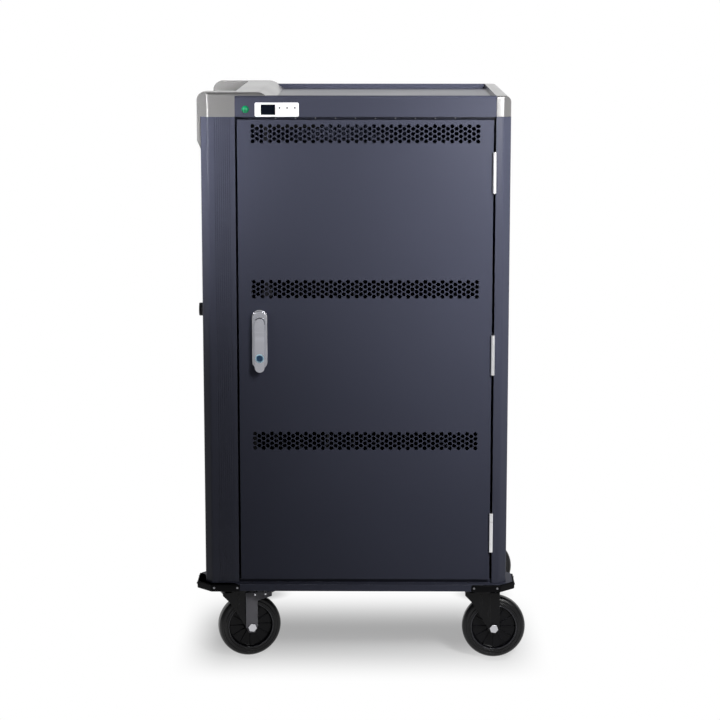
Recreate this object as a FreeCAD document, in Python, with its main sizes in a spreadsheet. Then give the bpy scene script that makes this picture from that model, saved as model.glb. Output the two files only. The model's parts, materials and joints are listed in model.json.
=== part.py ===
import FreeCAD, Part
import math
import os
import re
import Sketcher

# Charging cabinet on casters: a tall sheet-metal cabinet with one perforated locking door, a tray top
# with a push handle at its left end, and a bumpered base on four swivel casters.
# Millimetres. +X is right as seen from the door, the door faces -Y, +Z is up. It is drawn about the
# middle of the body, on the floor.

SIZES = {
    # Body
    "body_width": 622,
    "body_depth": 520,
    "corner_chamfer": 15,
    "corner_round": 9,
    "sheet": 1.5,
    "panel_recess": 1,
    "column_wall": 2.5,
    "column_left_width": 70,
    "column_right_width": 30.4,
    "column_rear_width": 40,
    "column_side": 62,
    "flute_count": 8,
    "flute_pitch": 4.2,
    "flute_width": 2.2,
    "flute_depth": 0.9,
    "flute_inset": 9,
    # Base and bumpers
    "base_clear": 150,
    "base_height": 14.3,
    "base_skin": 3,
    "base_rim": 2.5,
    "base_overhang": 10,
    "base_side_overhang": 2,
    "ear_reach": 14,
    "ear_chamfer": 28,
    "ear_straight": 62,
    "ear_taper": 15,
    "bumper_thick": 4,
    "bumper_front": 58,
    "bumper_drop": 1,
    "bumper_screw_inset": 5,
    "bumper_screw_radius": 2.2,
    "bumper_screw_head": 1.8,
    "bumper_screw_drop": 6.5,
    "sill_height": 8,
    "sill_thick": 2.5,
    "sill_setback": 8,
    # Door
    "door_gap_left": 4.5,
    "door_gap_right": 5,
    "door_gap_below": 8.8,
    "door_height": 945.1,
    "door_depth": 20,
    "vent_pitch": 10,
    "vent_size": 8,
    "vent_columns": 53,
    "vent_rows": 4,
    "vent_bands": 3,
    "vent_band_spacing": 313,
    "vent_top_margin": 27.4,
    # Hinges
    "hinge_count": 3,
    "hinge_spacing": 370,
    "hinge_drop": 2,
    "hinge_standoff": 0.4,
    "hinge_radius": 3.9,
    "hinge_length": 82,
    "hinge_knuckle": 18,
    "hinge_pin_radius": 2,
    "hinge_clearance": 0.05,
    "hinge_end_gap": 0.4,
    "leaf_thick": 2,
    "leaf_web_gap": 1,
    "leaf_door_width": 22,
    "leaf_frame_width": 22,
    "leaf_screw_radius": 2.6,
    "leaf_screw_head": 0.8,
    "leaf_screw_inset": 8,
    # Lock
    "lock_inset": 42.5,
    "lock_height": 502.7,
    "lock_width": 30.6,
    "lock_length": 121.5,
    "lock_thick": 8,
    "lock_edge_round": 2,
    "lock_head_rise": 6,
    "lock_head_gap": 2,
    "lock_pocket_gap": 0.8,
    "lock_pocket_floor": 1.5,
    "spindle_rise": 34,
    "spindle_radius": 5,
    "spindle_clearance": 0.05,
    "spindle_hole_gap": 1,
    "lug_width": 6,
    "lug_height": 4.8,
    "lever_width": 19.6,
    "lever_length": 110,
    "lever_thick": 9.7,
    "lever_wall": 3,
    "lever_gap": 0.3,
    "lever_pin_setback": 3,
    "lever_pin_radius": 1.2,
    "lever_pin_inset": 0.5,
    "scoop_radius": 40,
    "scoop_depth": 1.4,
    "scoop_drop": 26,
    "key_drop": 71.5,
    "key_radius": 6.5,
    "key_proud": 0.8,
    "key_clearance": 0.08,
    "keyway_width": 1.6,
    "keyway_height": 7,
    "keyway_depth": 4,
    # Lock rods and their gear
    "rod_width": 12,
    "rod_thick": 6,
    "rod_setback": 13,
    "rod_end_gap": 0.6,
    "rod_clearance": 0.4,
    "rod_slot_gap": 1.4,
    "mesh_clearance": 0.2,
    "pinion_teeth": 12,
    "pinion_radius": 8,
    "tooth_height": 2.4,
    "rack_teeth": 7,
    "gearbox_width": 70,
    "gearbox_height": 62,
    "gearbox_skin": 1.5,
    "gearbox_post": 4,
    "guide_wall": 3,
    "guide_height": 14,
    "guide_inset": 60,
    # Top
    "fascia_gap": 6,
    "fascia_height": 42,
    "fascia_wall": 2.5,
    "tray_depth": 10,
    "deck_thick": 3,
    "lip_width": 12,
    "lip_radius": 6,
    "header_setback": 22,
    "header_thick": 2,
    "header_height": 45,
    "rivet_count": 10,
    "rivet_pitch": 40,
    "rivet_radius": 1.6,
    "rivet_head": 1,
    "rivet_drop": 4,
    "rail_top_round": 14,
    # Handle
    "handle_rise": 7.5,
    "handle_proud": 8,
    "handle_skirt": 64,
    "handle_skirt_slant": 16,
    "handle_floor": 4,
    "handle_pod": 45,
    "handle_flat": 51,
    "handle_ramp": 25,
    "handle_ramp_knee": 12,
    "handle_edge_round": 9,
    "handle_top_round": 19,
    "grip_width": 24,
    "grip_drop": 23.5,
    "grip_round": 9,
    "ramp_round": 34,
    # Control strip
    "lamp_inset": 21.1,
    "lamp_radius": 7.5,
    "lamp_dome": 5,
    "lamp_stem_radius": 6,
    "lamp_stem": 10,
    "lamp_height": 15,
    "plate_inset": 40.2,
    "plate_width": 88,
    "plate_height": 28,
    "plate_thick": 1.5,
    "plate_round": 3,
    "plate_lift": 0.5,
    "display_inset": 12,
    "display_width": 29,
    "display_height": 20.6,
    "display_thick": 0.6,
    "button_count": 3,
    "button_first": 49.4,
    "button_pitch": 15.25,
    "button_rise": 3.5,
    "button_radius": 1.8,
    "button_clearance": 0.1,
    "button_proud": 1,
    "button_flange": 3,
    "button_flange_thick": 2,
    "button_flange_gap": 0.2,
    "controller_inset": 20,
    "controller_width": 150,
    "controller_depth": 86,
    "controller_height": 54,
    # Inside
    "tier_count": 3,
    "tier_spacing": 313,
    "tier_first": 18,
    "shelf_flange": 15,
    "shelf_back_gap": 6,
    "divider_count": 10,
    "divider_pitch": 56,
    "divider_thick": 2,
    "divider_height": 225,
    "divider_depth": 330,
    "divider_nose": 40,
    "divider_setback": 2,
    "strip_width": 480,
    "strip_depth": 42,
    "strip_height": 46,
    "strip_rise": 235,
    # Rear
    "slot_count": 26,
    "slot_pitch": 16,
    "slot_width": 6,
    "slot_height": 36,
    "slot_rise": 10,
    "inlet_width": 60,
    "inlet_height": 44,
    "inlet_flange": 3,
    "inlet_depth": 26,
    "inlet_socket_width": 25,
    "inlet_socket_height": 17,
    "inlet_socket_depth": 17,
    "inlet_x": 170,
    "inlet_rise": 70,
    # Side knob
    "knob_rise": 722.7,
    "knob_setback": 95,
    "knob_base_radius": 17,
    "knob_radius": 13.5,
    "knob_base": 5,
    "knob_length": 14,
    "knob_shaft_radius": 6,
    "knob_shaft": 14,
    "knob_clearance": 0.08,
    # Casters
    "wheel_radius": 65.5,
    "tyre_width": 32,
    "tyre_round": 7,
    "hub_radius": 48.5,
    "hub_width": 38,
    "hub_web": 14,
    "hub_boss_radius": 13,
    "hub_rim": 2.5,
    "hub_draft": 2.5,
    "axle_radius": 5,
    "axle_clearance": 0.06,
    "axle_head_flats": 16,
    "axle_head": 6,
    "caster_left_inset": 65,
    "caster_right_inset": 48,
    "caster_end_inset": 33,
    "caster_trail": 24,
    "caster_plate_long": 78,
    "caster_plate_wide": 62,
    "caster_plate_thick": 3.5,
    "caster_bolt_long": 60,
    "caster_bolt_wide": 44,
    "caster_bolt_radius": 4,
    "caster_bolt_gap": 0.25,
    "caster_bolt_flats": 13,
    "caster_bolt_head": 5,
    "race_radius": 27,
    "race_clearance": 0.4,
    "kingpin_radius": 8,
    "kingpin_clearance": 0.06,
    "kingpin_head": 3,
    "kingpin_rim": 3,
    "fork_top": 140.8,
    "fork_thick": 3.5,
    "fork_leg": 2.6,
    "fork_inside": 20,
    "fork_half_length": 36,
    "fork_axle_round": 12,
    "fork_axle_flat": 0.5,
    "fork_cheek": 2,
    "fork_nose_run": 15,
    "fork_nose_drop": 18,
    "fork_heel_drop": 12,
    "fork_rib": 1.2,
    "fork_rib_width": 4,
    "fork_rib_front": 5,
    "fork_rib_front_rise": 30,
    "fork_rib_rear_rise": 14,
    "brake_thick": 2,
    "brake_strip": 25,
    "brake_arm": 43,
    "brake_arm_height": 10,
    "brake_gap": 0.4,
    "brake_toe": 9,
    "brake_drop": 1.5,
    "swivel_front_left": 15,
    "swivel_front_right": 0,
    "swivel_rear_left": 8,
    "swivel_rear_right": 15,
}

# Places worked out from the sizes
PLACES = {
    "left": "-body_width / 2",
    "right": "body_width / 2",
    "front": "-body_depth / 2",
    "back": "body_depth / 2",
    "base_top": "base_clear + base_height",
    "base_edge_y": "back + base_overhang",
    "base_side_x": "right + base_side_overhang",
    "ear_x": "right + ear_reach",
    "jamb_left": "left + column_left_width",
    "jamb_right": "right - column_right_width",
    "door_left": "jamb_left + door_gap_left",
    "door_right": "jamb_right - door_gap_right",
    "door_bottom": "base_top + door_gap_below",
    "door_top": "door_bottom + door_height",
    "door_back": "front + door_depth",
    "door_mid_x": "(door_left + door_right) / 2",
    "fascia_bottom": "door_top + fascia_gap",
    "rim_top": "fascia_bottom + fascia_height",
    "deck_top": "rim_top - tray_depth",
    "deck_low": "deck_top - deck_thick",
    "fascia_right": "jamb_right",
    "deck_left": "jamb_left + handle_flat + handle_ramp",
    "caster_left_x": "left + caster_left_inset",
    "caster_right_x": "right - caster_right_inset",
    "caster_y": "back - caster_end_inset",
    "header_front": "front + header_setback",
    "header_back": "header_front + header_thick",
    "hinge_x": "jamb_right - door_gap_right / 2",
    "hinge_y": "front - hinge_radius - hinge_standoff",
    "hinge_mid_z": "door_bottom + door_height / 2 - hinge_drop",
    "lock_x": "door_left + lock_inset",
    "lock_z": "door_bottom + lock_height",
    "lock_face": "front - lock_thick",
    "spindle_z": "lock_z + spindle_rise",
    "lever_back": "lock_face - lever_gap",
    "lever_front": "lever_back - lever_thick",
    "lever_low": "spindle_z + lever_width / 2 - lever_length",
    "lever_pin_y": "lever_back - lever_pin_setback",
    "key_z": "spindle_z - key_drop",
    "pocket_radius": "lever_width / 2 + lock_pocket_gap",
    "rod_front": "front + rod_setback",
    "rod_back": "rod_front + rod_thick",
    "rack_root": "pinion_radius + tooth_height / 2 + mesh_clearance",
    "handle_top": "rim_top + handle_rise",
    "handle_left": "left - handle_proud",
    "handle_slot": "back - handle_pod",
    "plate_left": "jamb_left + plate_inset",
    "plate_low": "fascia_bottom + plate_lift",
    "plate_front": "front - plate_thick",
    "button_z": "plate_low + plate_height / 2 + button_rise",
    "shelf_front": "front + column_side + panel_recess",
    "divider_front": "shelf_front + divider_setback",
    "tier_low": "base_top + tier_first",
    "side_inner": "right - panel_recess - sheet",
    "fork_low": "fork_top - fork_thick",
    "leg_out": "fork_inside + fork_leg",
    "brake_in": "leg_out + fork_rib + brake_gap",
    "brake_out": "brake_in + brake_thick",
    "plate_under": "base_top - base_skin - caster_plate_thick",
}

doc = FreeCAD.newDocument("charging_cabinet")
sheet = doc.addObject("Spreadsheet::Sheet", "Sizes")
for row, (alias, size) in enumerate(SIZES.items(), start=1):
    sheet.set(f"A{row}", alias)
    sheet.set(f"B{row}", str(size))
    sheet.setAlias(f"B{row}", alias)
doc.recompute()

NODES = {}


def formula(text):
    """Spell a size or place out in the sheet's own aliases."""
    def spell(match):
        word = match.group(0)
        if word in PLACES:
            return "(" + formula(PLACES[word]) + ")"
        return "Sizes." + word if word in SIZES else word
    return re.sub(r"[A-Za-z_]\w*", spell, str(text))


def mm(text):
    """Read a size or place as a number."""
    return float(sheet.evalExpression(formula(text).replace("Sizes.", "")))


def bind(thing, prop, text):
    thing.setExpression(prop, formula(text))


def node(name, thing):
    thing.Label = name
    NODES[name] = thing
    return thing


def sign(side):
    return "" if side > 0 else "-"


def box(name, x, y, z):
    """A block between two places along each axis."""
    block = doc.addObject("Part::Box", name)
    for prop, axis, (low, high) in zip(("Length", "Width", "Height"), "xyz", (x, y, z)):
        bind(block, prop, f"({high}) - ({low})")
        bind(block, f"Placement.Base.{axis}", low)
    return block


AXES = {"x": FreeCAD.Vector(1, 0, 0), "y": FreeCAD.Vector(0, 1, 0), "z": FreeCAD.Vector(0, 0, 1)}


def bar(name, axis, radius, start, length):
    """A round bar from start, along an axis."""
    round_bar = doc.addObject("Part::Cylinder", name)
    round_bar.Placement = FreeCAD.Placement(
        FreeCAD.Vector(), FreeCAD.Rotation(FreeCAD.Vector(0, 0, 1), AXES[axis]))
    bind(round_bar, "Radius", radius)
    bind(round_bar, "Height", length)
    for coordinate, place in zip("xyz", start):
        bind(round_bar, f"Placement.Base.{coordinate}", place)
    return round_bar


def hex_head(name, axis, flats, start, length, turn=0):
    """A six-sided bolt head or nut from start, along an axis."""
    head = doc.addObject("Part::Prism", name)
    spin = FreeCAD.Rotation(FreeCAD.Vector(0, 0, 1), turn)
    head.Placement = FreeCAD.Placement(
        FreeCAD.Vector(), FreeCAD.Rotation(FreeCAD.Vector(0, 0, 1), AXES[axis]) * spin)
    head.Polygon = 6
    bind(head, "Circumradius", f"({flats}) / sqrt(3)")
    bind(head, "Height", length)
    for coordinate, place in zip("xyz", start):
        bind(head, f"Placement.Base.{coordinate}", place)
    return head


def group(name, things):
    bundle = doc.addObject("Part::Compound", name)
    bundle.Links = things
    return bundle


def fuse(name, things):
    whole = doc.addObject("Part::MultiFuse", name)
    whole.Shapes = things
    whole.Refine = True
    return whole


def cut(name, base, tools):
    remainder = doc.addObject("Part::Cut", name)
    remainder.Base = base
    remainder.Tool = tools[0] if len(tools) == 1 else group(name + "_tools", tools)
    remainder.Refine = True
    return remainder


def common(name, things):
    overlap = doc.addObject("Part::MultiCommon", name)
    overlap.Shapes = things
    return overlap


def new_body(name):
    return doc.addObject("PartDesign::Body", name)


def origin_plane(body, role):
    return next(f for f in body.Origin.OriginFeatures if f.Role == role)


def new_sketch(body, name, plane, offset):
    sketch = body.newObject("Sketcher::SketchObject", name)
    sketch.AttachmentSupport = [(origin_plane(body, plane + "_Plane"), "")]
    sketch.MapMode = "FlatFace"
    bind(sketch, "AttachmentOffset.Base.z", offset)
    return sketch


def pin_point(sketch, geometry, end, place):
    for kind, text in zip(("DistanceX", "DistanceY"), place):
        index = sketch.addConstraint(Sketcher.Constraint(kind, -1, 1, geometry, end, mm(text)))
        bind(sketch, f"Constraints[{index}]", text)


def draw_outline(sketch, points):
    """A closed outline of straight edges, every corner held at its place."""
    corners = [FreeCAD.Vector(mm(u), mm(v), 0) for u, v in points]
    first = sketch.GeometryCount
    count = len(corners)
    for i in range(count):
        sketch.addGeometry(Part.LineSegment(corners[i], corners[(i + 1) % count]))
    for i in range(count):
        following = first + (i + 1) % count
        sketch.addConstraint(Sketcher.Constraint("Coincident", first + i, 2, following, 1))
        pin_point(sketch, first + i, 1, points[i])


def draw_circle(sketch, centre, radius):
    middle = FreeCAD.Vector(mm(centre[0]), mm(centre[1]), 0)
    ring = sketch.addGeometry(Part.Circle(middle, FreeCAD.Vector(0, 0, 1), mm(radius)))
    pin_point(sketch, ring, 3, centre)
    index = sketch.addConstraint(Sketcher.Constraint("Radius", ring, mm(radius)))
    bind(sketch, f"Constraints[{index}]", radius)


def pad(body, name, plane, points, low, high):
    """Raise an outline between two places along its plane's own axis."""
    offset = f"-({high})" if plane == "XZ" else low
    sketch = new_sketch(body, name + "_outline", plane, offset)
    draw_outline(sketch, points)
    feature = body.newObject("PartDesign::Pad", name)
    feature.Profile = sketch
    bind(feature, "Length", f"({high}) - ({low})")
    doc.recompute()
    return feature


def pocket(body, name, plane, low, high, outlines=(), circles=()):
    """Cut outlines and round holes between two places along the plane's axis."""
    offset = f"-({low})" if plane == "XZ" else high
    sketch = new_sketch(body, name + "_outline", plane, offset)
    for points in outlines:
        draw_outline(sketch, points)
    for centre, radius in circles:
        draw_circle(sketch, centre, radius)
    feature = body.newObject("PartDesign::Pocket", name)
    feature.Profile = sketch
    bind(feature, "Length", f"({high}) - ({low})")
    doc.recompute()
    return feature


PLANE_AXES = {"XY": ("x", "y"), "XZ": ("x", "z"), "YZ": ("y", "z")}


def round_edges(body, name, base, plane, corners, radius):
    """Round the long edges that stand on the given corners of an outline."""
    u, v = PLANE_AXES[plane]
    wanted = [(mm(a), mm(b)) for a, b in corners]
    names = []
    for index, edge in enumerate(base.Shape.Edges, start=1):
        ends = [(getattr(p.Point, u), getattr(p.Point, v)) for p in edge.Vertexes]
        for place in wanted:
            if len(ends) == 2 and all(math.dist(end, place) < 0.01 for end in ends):
                names.append(f"Edge{index}")
    feature = body.newObject("PartDesign::Fillet", name)
    feature.Base = (base, names)
    bind(feature, "Radius", radius)
    doc.recompute()
    return feature


def turned(name, points):
    """A ring or disc turned about the local Y axis; outline points are (radius, along Y)."""
    body = new_body(name)
    sketch = new_sketch(body, name + "_section", "XY", "0")
    draw_outline(sketch, points)
    feature = body.newObject("PartDesign::Revolution", name + "_turned")
    feature.Profile = sketch
    feature.ReferenceAxis = (sketch, ["V_Axis"])
    feature.Angle = 360
    doc.recompute()
    return body


def plain_shape(name, shape):
    feature = doc.addObject("Part::Feature", name)
    feature.Shape = shape
    return feature


def rectangle(u_low, u_high, v_low, v_high):
    return [(u_low, v_low), (u_high, v_low), (u_high, v_high), (u_low, v_high)]


def flat_wire(points, y):
    """A closed wire through (x, z) points in the plane at y."""
    corners = [FreeCAD.Vector(x, y, z) for x, z in points]
    return Part.makePolygon(corners + corners[:1])


def punched_sheet(outline, holes, y, thickness):
    """A sheet with punched holes, from its front face backwards."""
    face = Part.Face([flat_wire(outline, y)] + holes)
    face.validate()
    return face.extrude(FreeCAD.Vector(0, thickness, 0))


# Base plate: a pan with corner ears, a sill behind the door's lower edge and holes for the casters
def base_outline(inset):
    side = f"base_side_x - {inset}"
    ear = f"ear_x - {inset}"
    end = f"base_edge_y - {inset}"
    chamfer = f"(ear_chamfer - {inset} * (2 - sqrt(2)))"
    corner = [
        (side, f"base_edge_y - ear_chamfer - ear_straight - ear_taper"),
        (ear, f"base_edge_y - ear_chamfer - ear_straight"),
        (ear, f"{end} - {chamfer}"),
        (f"{ear} - {chamfer}", end),
    ]
    points = []
    for x_side, y_side in ((1, 1), (-1, 1), (-1, -1), (1, -1)):
        run = corner if x_side * y_side > 0 else corner[::-1]
        points += [(f"{sign(x_side)}({x})", f"{sign(y_side)}({y})") for x, y in run]
    return points


CASTERS = {
    "front_left": ("caster_left_x", "-caster_y"),
    "front_right": ("caster_right_x", "-caster_y"),
    "rear_left": ("caster_left_x", "caster_y"),
    "rear_right": ("caster_right_x", "caster_y"),
}


def caster_bolt_places():
    places = []
    for x, y in CASTERS.values():
        for x_side in (1, -1):
            for y_side in (1, -1):
                places.append((f"{x} + {x_side} * caster_bolt_long / 2",
                               f"{y} + {y_side} * caster_bolt_wide / 2"))
    return places


BOLT_HOLE = "caster_bolt_radius + caster_bolt_gap"


def make_base():
    body = new_body("base_plate")
    pad(body, "base_block", "XY", base_outline("0"), "base_clear", "base_top")
    sill = rectangle("jamb_left", "jamb_right", "front + sill_setback",
                     "front + sill_setback + sill_thick")
    pad(body, "base_sill", "XY", sill, "base_top - base_skin", "base_top + sill_height")
    pocket(body, "base_hollow", "XY", "base_clear - 1", "base_top - base_skin",
           [base_outline("base_rim")])
    holes = [(place, BOLT_HOLE) for place in caster_bolt_places()]
    pocket(body, "base_holes", "XY", "base_clear", "base_top + 1", circles=holes)
    node("base_plate", body)


# Corner bumpers: strips that wrap each ear
def make_bumpers():
    chamfer_shift = "bumper_thick * (sqrt(2) - 1)"
    strip = [
        ("ear_x - ear_chamfer - bumper_front", "base_edge_y"),
        ("ear_x - ear_chamfer", "base_edge_y"),
        ("ear_x", "base_edge_y - ear_chamfer"),
        ("ear_x", "base_edge_y - ear_chamfer - ear_straight"),
        ("ear_x + bumper_thick", "base_edge_y - ear_chamfer - ear_straight"),
        ("ear_x + bumper_thick", f"base_edge_y - ear_chamfer + {chamfer_shift}"),
        (f"ear_x - ear_chamfer + {chamfer_shift}", "base_edge_y + bumper_thick"),
        ("ear_x - ear_chamfer - bumper_front", "base_edge_y + bumper_thick"),
    ]
    bumpers = []
    for name, x_side, y_side in (("front_left", -1, -1), ("front_right", 1, -1),
                                 ("rear_left", -1, 1), ("rear_right", 1, 1)):
        points = [(f"{sign(x_side)}({x})", f"{sign(y_side)}({y})") for x, y in strip]
        body = new_body("bumper_" + name)
        pad(body, f"bumper_{name}_strip", "XY", points, "base_clear - bumper_drop", "base_top")
        bumpers.append(body)
    node("corner_bumpers", group("corner_bumpers", bumpers))


# Columns: hollow extrusions with a slanted outer corner, fluted at the front left
def slanted_corner(outer, x_side, end, y_side, reach):
    """The two corners of an outline where a slant runs from its side to its end."""
    return [(outer, f"({end}) - {y_side} * ({reach})"), (f"({outer}) - {x_side} * ({reach})", end)]


def make_column(name, jamb, outer, x_side, end, y_side):
    s = x_side
    t = y_side
    inner_end = f"({end}) - {t} * column_side"
    body = new_body(name)
    corner = slanted_corner(outer, s, end, t, "corner_chamfer")
    outline = [(jamb, inner_end), (outer, inner_end), *corner, (jamb, end)]
    block = pad(body, name + "_block", "XY", outline, "base_top", "fascia_bottom")
    round_edges(body, name + "_corner", block, "XY", corner, "corner_round")
    inner_jamb = f"({jamb}) + {s} * column_wall"
    inner_outer = f"({outer}) - {s} * column_wall"
    back_wall = f"({inner_end}) + {t} * column_wall"
    front_wall = f"({end}) - {t} * column_wall"
    inner_reach = "corner_chamfer - column_wall * (2 - sqrt(2))"
    hollow = [(inner_jamb, back_wall), (inner_outer, back_wall),
              *slanted_corner(inner_outer, s, front_wall, t, inner_reach), (inner_jamb, front_wall)]
    pocket(body, name + "_hollow", "XY", "base_top - 1", "fascia_bottom + 1", [hollow])
    return body


def make_columns():
    left_column = make_column("column_front_left", "jamb_left", "left", -1, "front", -1)
    flute_x = "jamb_left - flute_inset"
    flute = rectangle(f"{flute_x} - flute_width", flute_x, "front - 1", "front + flute_depth")
    first = pocket(left_column, "flute", "XY", "base_top - 1", "fascia_bottom + 1", [flute])
    pattern = left_column.newObject("PartDesign::LinearPattern", "flutes")
    pattern.Originals = [first]
    pattern.Direction = (first.Profile[0], ["H_Axis"])
    pattern.Reversed = True
    bind(pattern, "Length", "flute_pitch * (flute_count - 1)")
    bind(pattern, "Occurrences", "flute_count")
    left_column.Tip = pattern
    node("column_front_left", left_column)
    node("column_front_right", make_column("column_front_right", "jamb_right", "right", 1, "front", -1))
    rear = [
        make_column("column_rear_left", "left + column_rear_width", "left", -1, "back", 1),
        make_column("column_rear_right", "right - column_rear_width", "right", 1, "back", 1),
    ]
    node("rear_columns", group("rear_columns", rear))


# Side and rear panels
def make_panels():
    y_span = ("front + column_side", "back - column_side")
    z_span = ("base_top", "fascia_bottom")
    left_sheet = box("side_sheet_left", ("-(side_inner) - sheet", "-(side_inner)"), y_span, z_span)
    knob_hole = bar("knob_hole", "x", "knob_shaft_radius + knob_clearance",
                    ("left - 1", "front + knob_setback", "knob_rise"), "panel_recess + sheet + 2")
    node("side_panel_left", cut("side_panel_left", left_sheet, [knob_hole]))
    node("side_panel_right", box("side_panel_right", ("side_inner", "side_inner + sheet"), y_span, z_span))

    sheet_front = mm("back - panel_recess - sheet")
    slots = []
    for band in range(int(mm("vent_bands"))):
        middle_z = mm("door_top - vent_top_margin + slot_rise") - band * mm("vent_band_spacing")
        half_height = mm("slot_height") / 2
        for i in range(int(mm("slot_count"))):
            x = (i - (mm("slot_count") - 1) / 2) * mm("slot_pitch")
            half_width = mm("slot_width") / 2
            slot = [(x - half_width, middle_z - half_height), (x + half_width, middle_z - half_height),
                    (x + half_width, middle_z + half_height), (x - half_width, middle_z + half_height)]
            slots.append(flat_wire(slot, sheet_front))
    inlet_half = mm("inlet_width - 2 * inlet_flange") / 2
    inlet_tall = mm("inlet_height - 2 * inlet_flange") / 2
    inlet_x = mm("inlet_x")
    inlet_z = mm("base_top + inlet_rise")
    inlet_hole = [(inlet_x - inlet_half, inlet_z - inlet_tall), (inlet_x + inlet_half, inlet_z - inlet_tall),
                  (inlet_x + inlet_half, inlet_z + inlet_tall), (inlet_x - inlet_half, inlet_z + inlet_tall)]
    slots.append(flat_wire(inlet_hole, sheet_front))
    half_width = mm("right - column_rear_width")
    outline = [(-half_width, mm("base_top")), (half_width, mm("base_top")),
               (half_width, mm("fascia_bottom")), (-half_width, mm("fascia_bottom"))]
    node("rear_panel", plain_shape("rear_panel", punched_sheet(outline, slots, sheet_front, mm("sheet"))))


# Power inlet in the rear panel: a flanged housing with a socket that is open to the back
def make_inlet():
    z_mid = "base_top + inlet_rise"
    outside = "back - panel_recess"
    flange = box("inlet_flange_plate", ("inlet_x - inlet_width / 2", "inlet_x + inlet_width / 2"),
                 (outside, f"{outside} + inlet_flange"),
                 (f"{z_mid} - inlet_height / 2", f"{z_mid} + inlet_height / 2"))
    half = "(inlet_width / 2 - inlet_flange)"
    tall = "(inlet_height / 2 - inlet_flange)"
    housing = box("inlet_housing", (f"inlet_x - {half}", f"inlet_x + {half}"),
                  (f"{outside} - inlet_depth", outside), (f"{z_mid} - {tall}", f"{z_mid} + {tall}"))
    socket = box("inlet_socket", ("inlet_x - inlet_socket_width / 2", "inlet_x + inlet_socket_width / 2"),
                 (f"{outside} + inlet_flange - inlet_socket_depth", f"{outside} + inlet_flange + 1"),
                 (f"{z_mid} - inlet_socket_height / 2", f"{z_mid} + inlet_socket_height / 2"))
    solid = fuse("inlet_solid", [flange, housing])
    node("power_inlet", cut("power_inlet", solid, [socket]))


# Tray top: fascia with its lip and header, rear rail, deck
def button_x(index):
    return f"plate_left + button_first + {index} * button_pitch"


def make_fascia():
    body = new_body("front_fascia")
    section = [
        ("front", "fascia_bottom"), ("front", "rim_top"), ("front + lip_width", "rim_top"),
        ("front + lip_width", "deck_low"), ("header_back", "deck_low"),
        ("header_back", "deck_low - header_height"), ("header_front", "deck_low - header_height"),
        ("header_front", "deck_low - fascia_wall"), ("front + fascia_wall", "deck_low - fascia_wall"),
        ("front + fascia_wall", "fascia_bottom"),
    ]
    block = pad(body, "fascia_section", "YZ", section, "jamb_left", "fascia_right")
    round_edges(body, "fascia_lip", block, "YZ", [("front", "rim_top")], "lip_radius")
    holes = [(("jamb_left + lamp_inset", "fascia_bottom + lamp_height"), "lamp_stem_radius")]
    holes += [((button_x(i), "button_z"), "button_radius + button_clearance")
              for i in range(int(mm("button_count")))]
    pocket(body, "fascia_holes", "XZ", "front - 1", "front + fascia_wall + 1", circles=holes)
    node("front_fascia", body)


def make_top():
    body = new_body("rear_rail")
    section = [
        ("back", "fascia_bottom"), ("back", "rim_top"), ("back - lip_width", "rim_top"),
        ("back - lip_width", "deck_low"), ("back - fascia_wall", "deck_low"),
        ("back - fascia_wall", "fascia_bottom"),
    ]
    block = pad(body, "rail_section", "YZ", section, "jamb_left", "fascia_right")
    round_edges(body, "rail_lip", block, "YZ", [("back", "rim_top")], "lip_radius")
    node("rear_rail", body)
    node("top_deck", box("top_deck", ("deck_left", "fascia_right"),
                         ("front + lip_width", "back - lip_width"), ("deck_low", "deck_top")))

    # Right end cap: a rail over the right-hand columns, rounded along its outer edge
    cap = new_body("cap_section")
    rail = pad(cap, "cap_rail", "XZ", rectangle("fascia_right", "right", "fascia_bottom", "rim_top"),
               "front", "back")
    round_edges(cap, "cap_edge", rail, "XZ", [("right", "rim_top")], "rail_top_round")
    plan = new_body("cap_plan")
    front_corner = slanted_corner("right", 1, "front", -1, "corner_chamfer")
    back_corner = slanted_corner("right", 1, "back", 1, "corner_chamfer")
    outline = [("fascia_right", "front"), *front_corner[::-1], *back_corner, ("fascia_right", "back")]
    block = pad(plan, "cap_block", "XY", outline, "fascia_bottom - 1", "rim_top + 1")
    round_edges(plan, "cap_corners", block, "XY", front_corner + back_corner, "corner_round")
    side = new_body("cap_side")
    slab = pad(side, "cap_slab", "YZ", rectangle("front", "back", "fascia_bottom", "rim_top"),
               "fascia_right - 1", "right + 1")
    round_edges(side, "cap_ends", slab, "YZ", [("front", "rim_top"), ("back", "rim_top")], "lip_radius")
    node("right_end_cap", common("right_end_cap", [cap, plan, side]))


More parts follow.
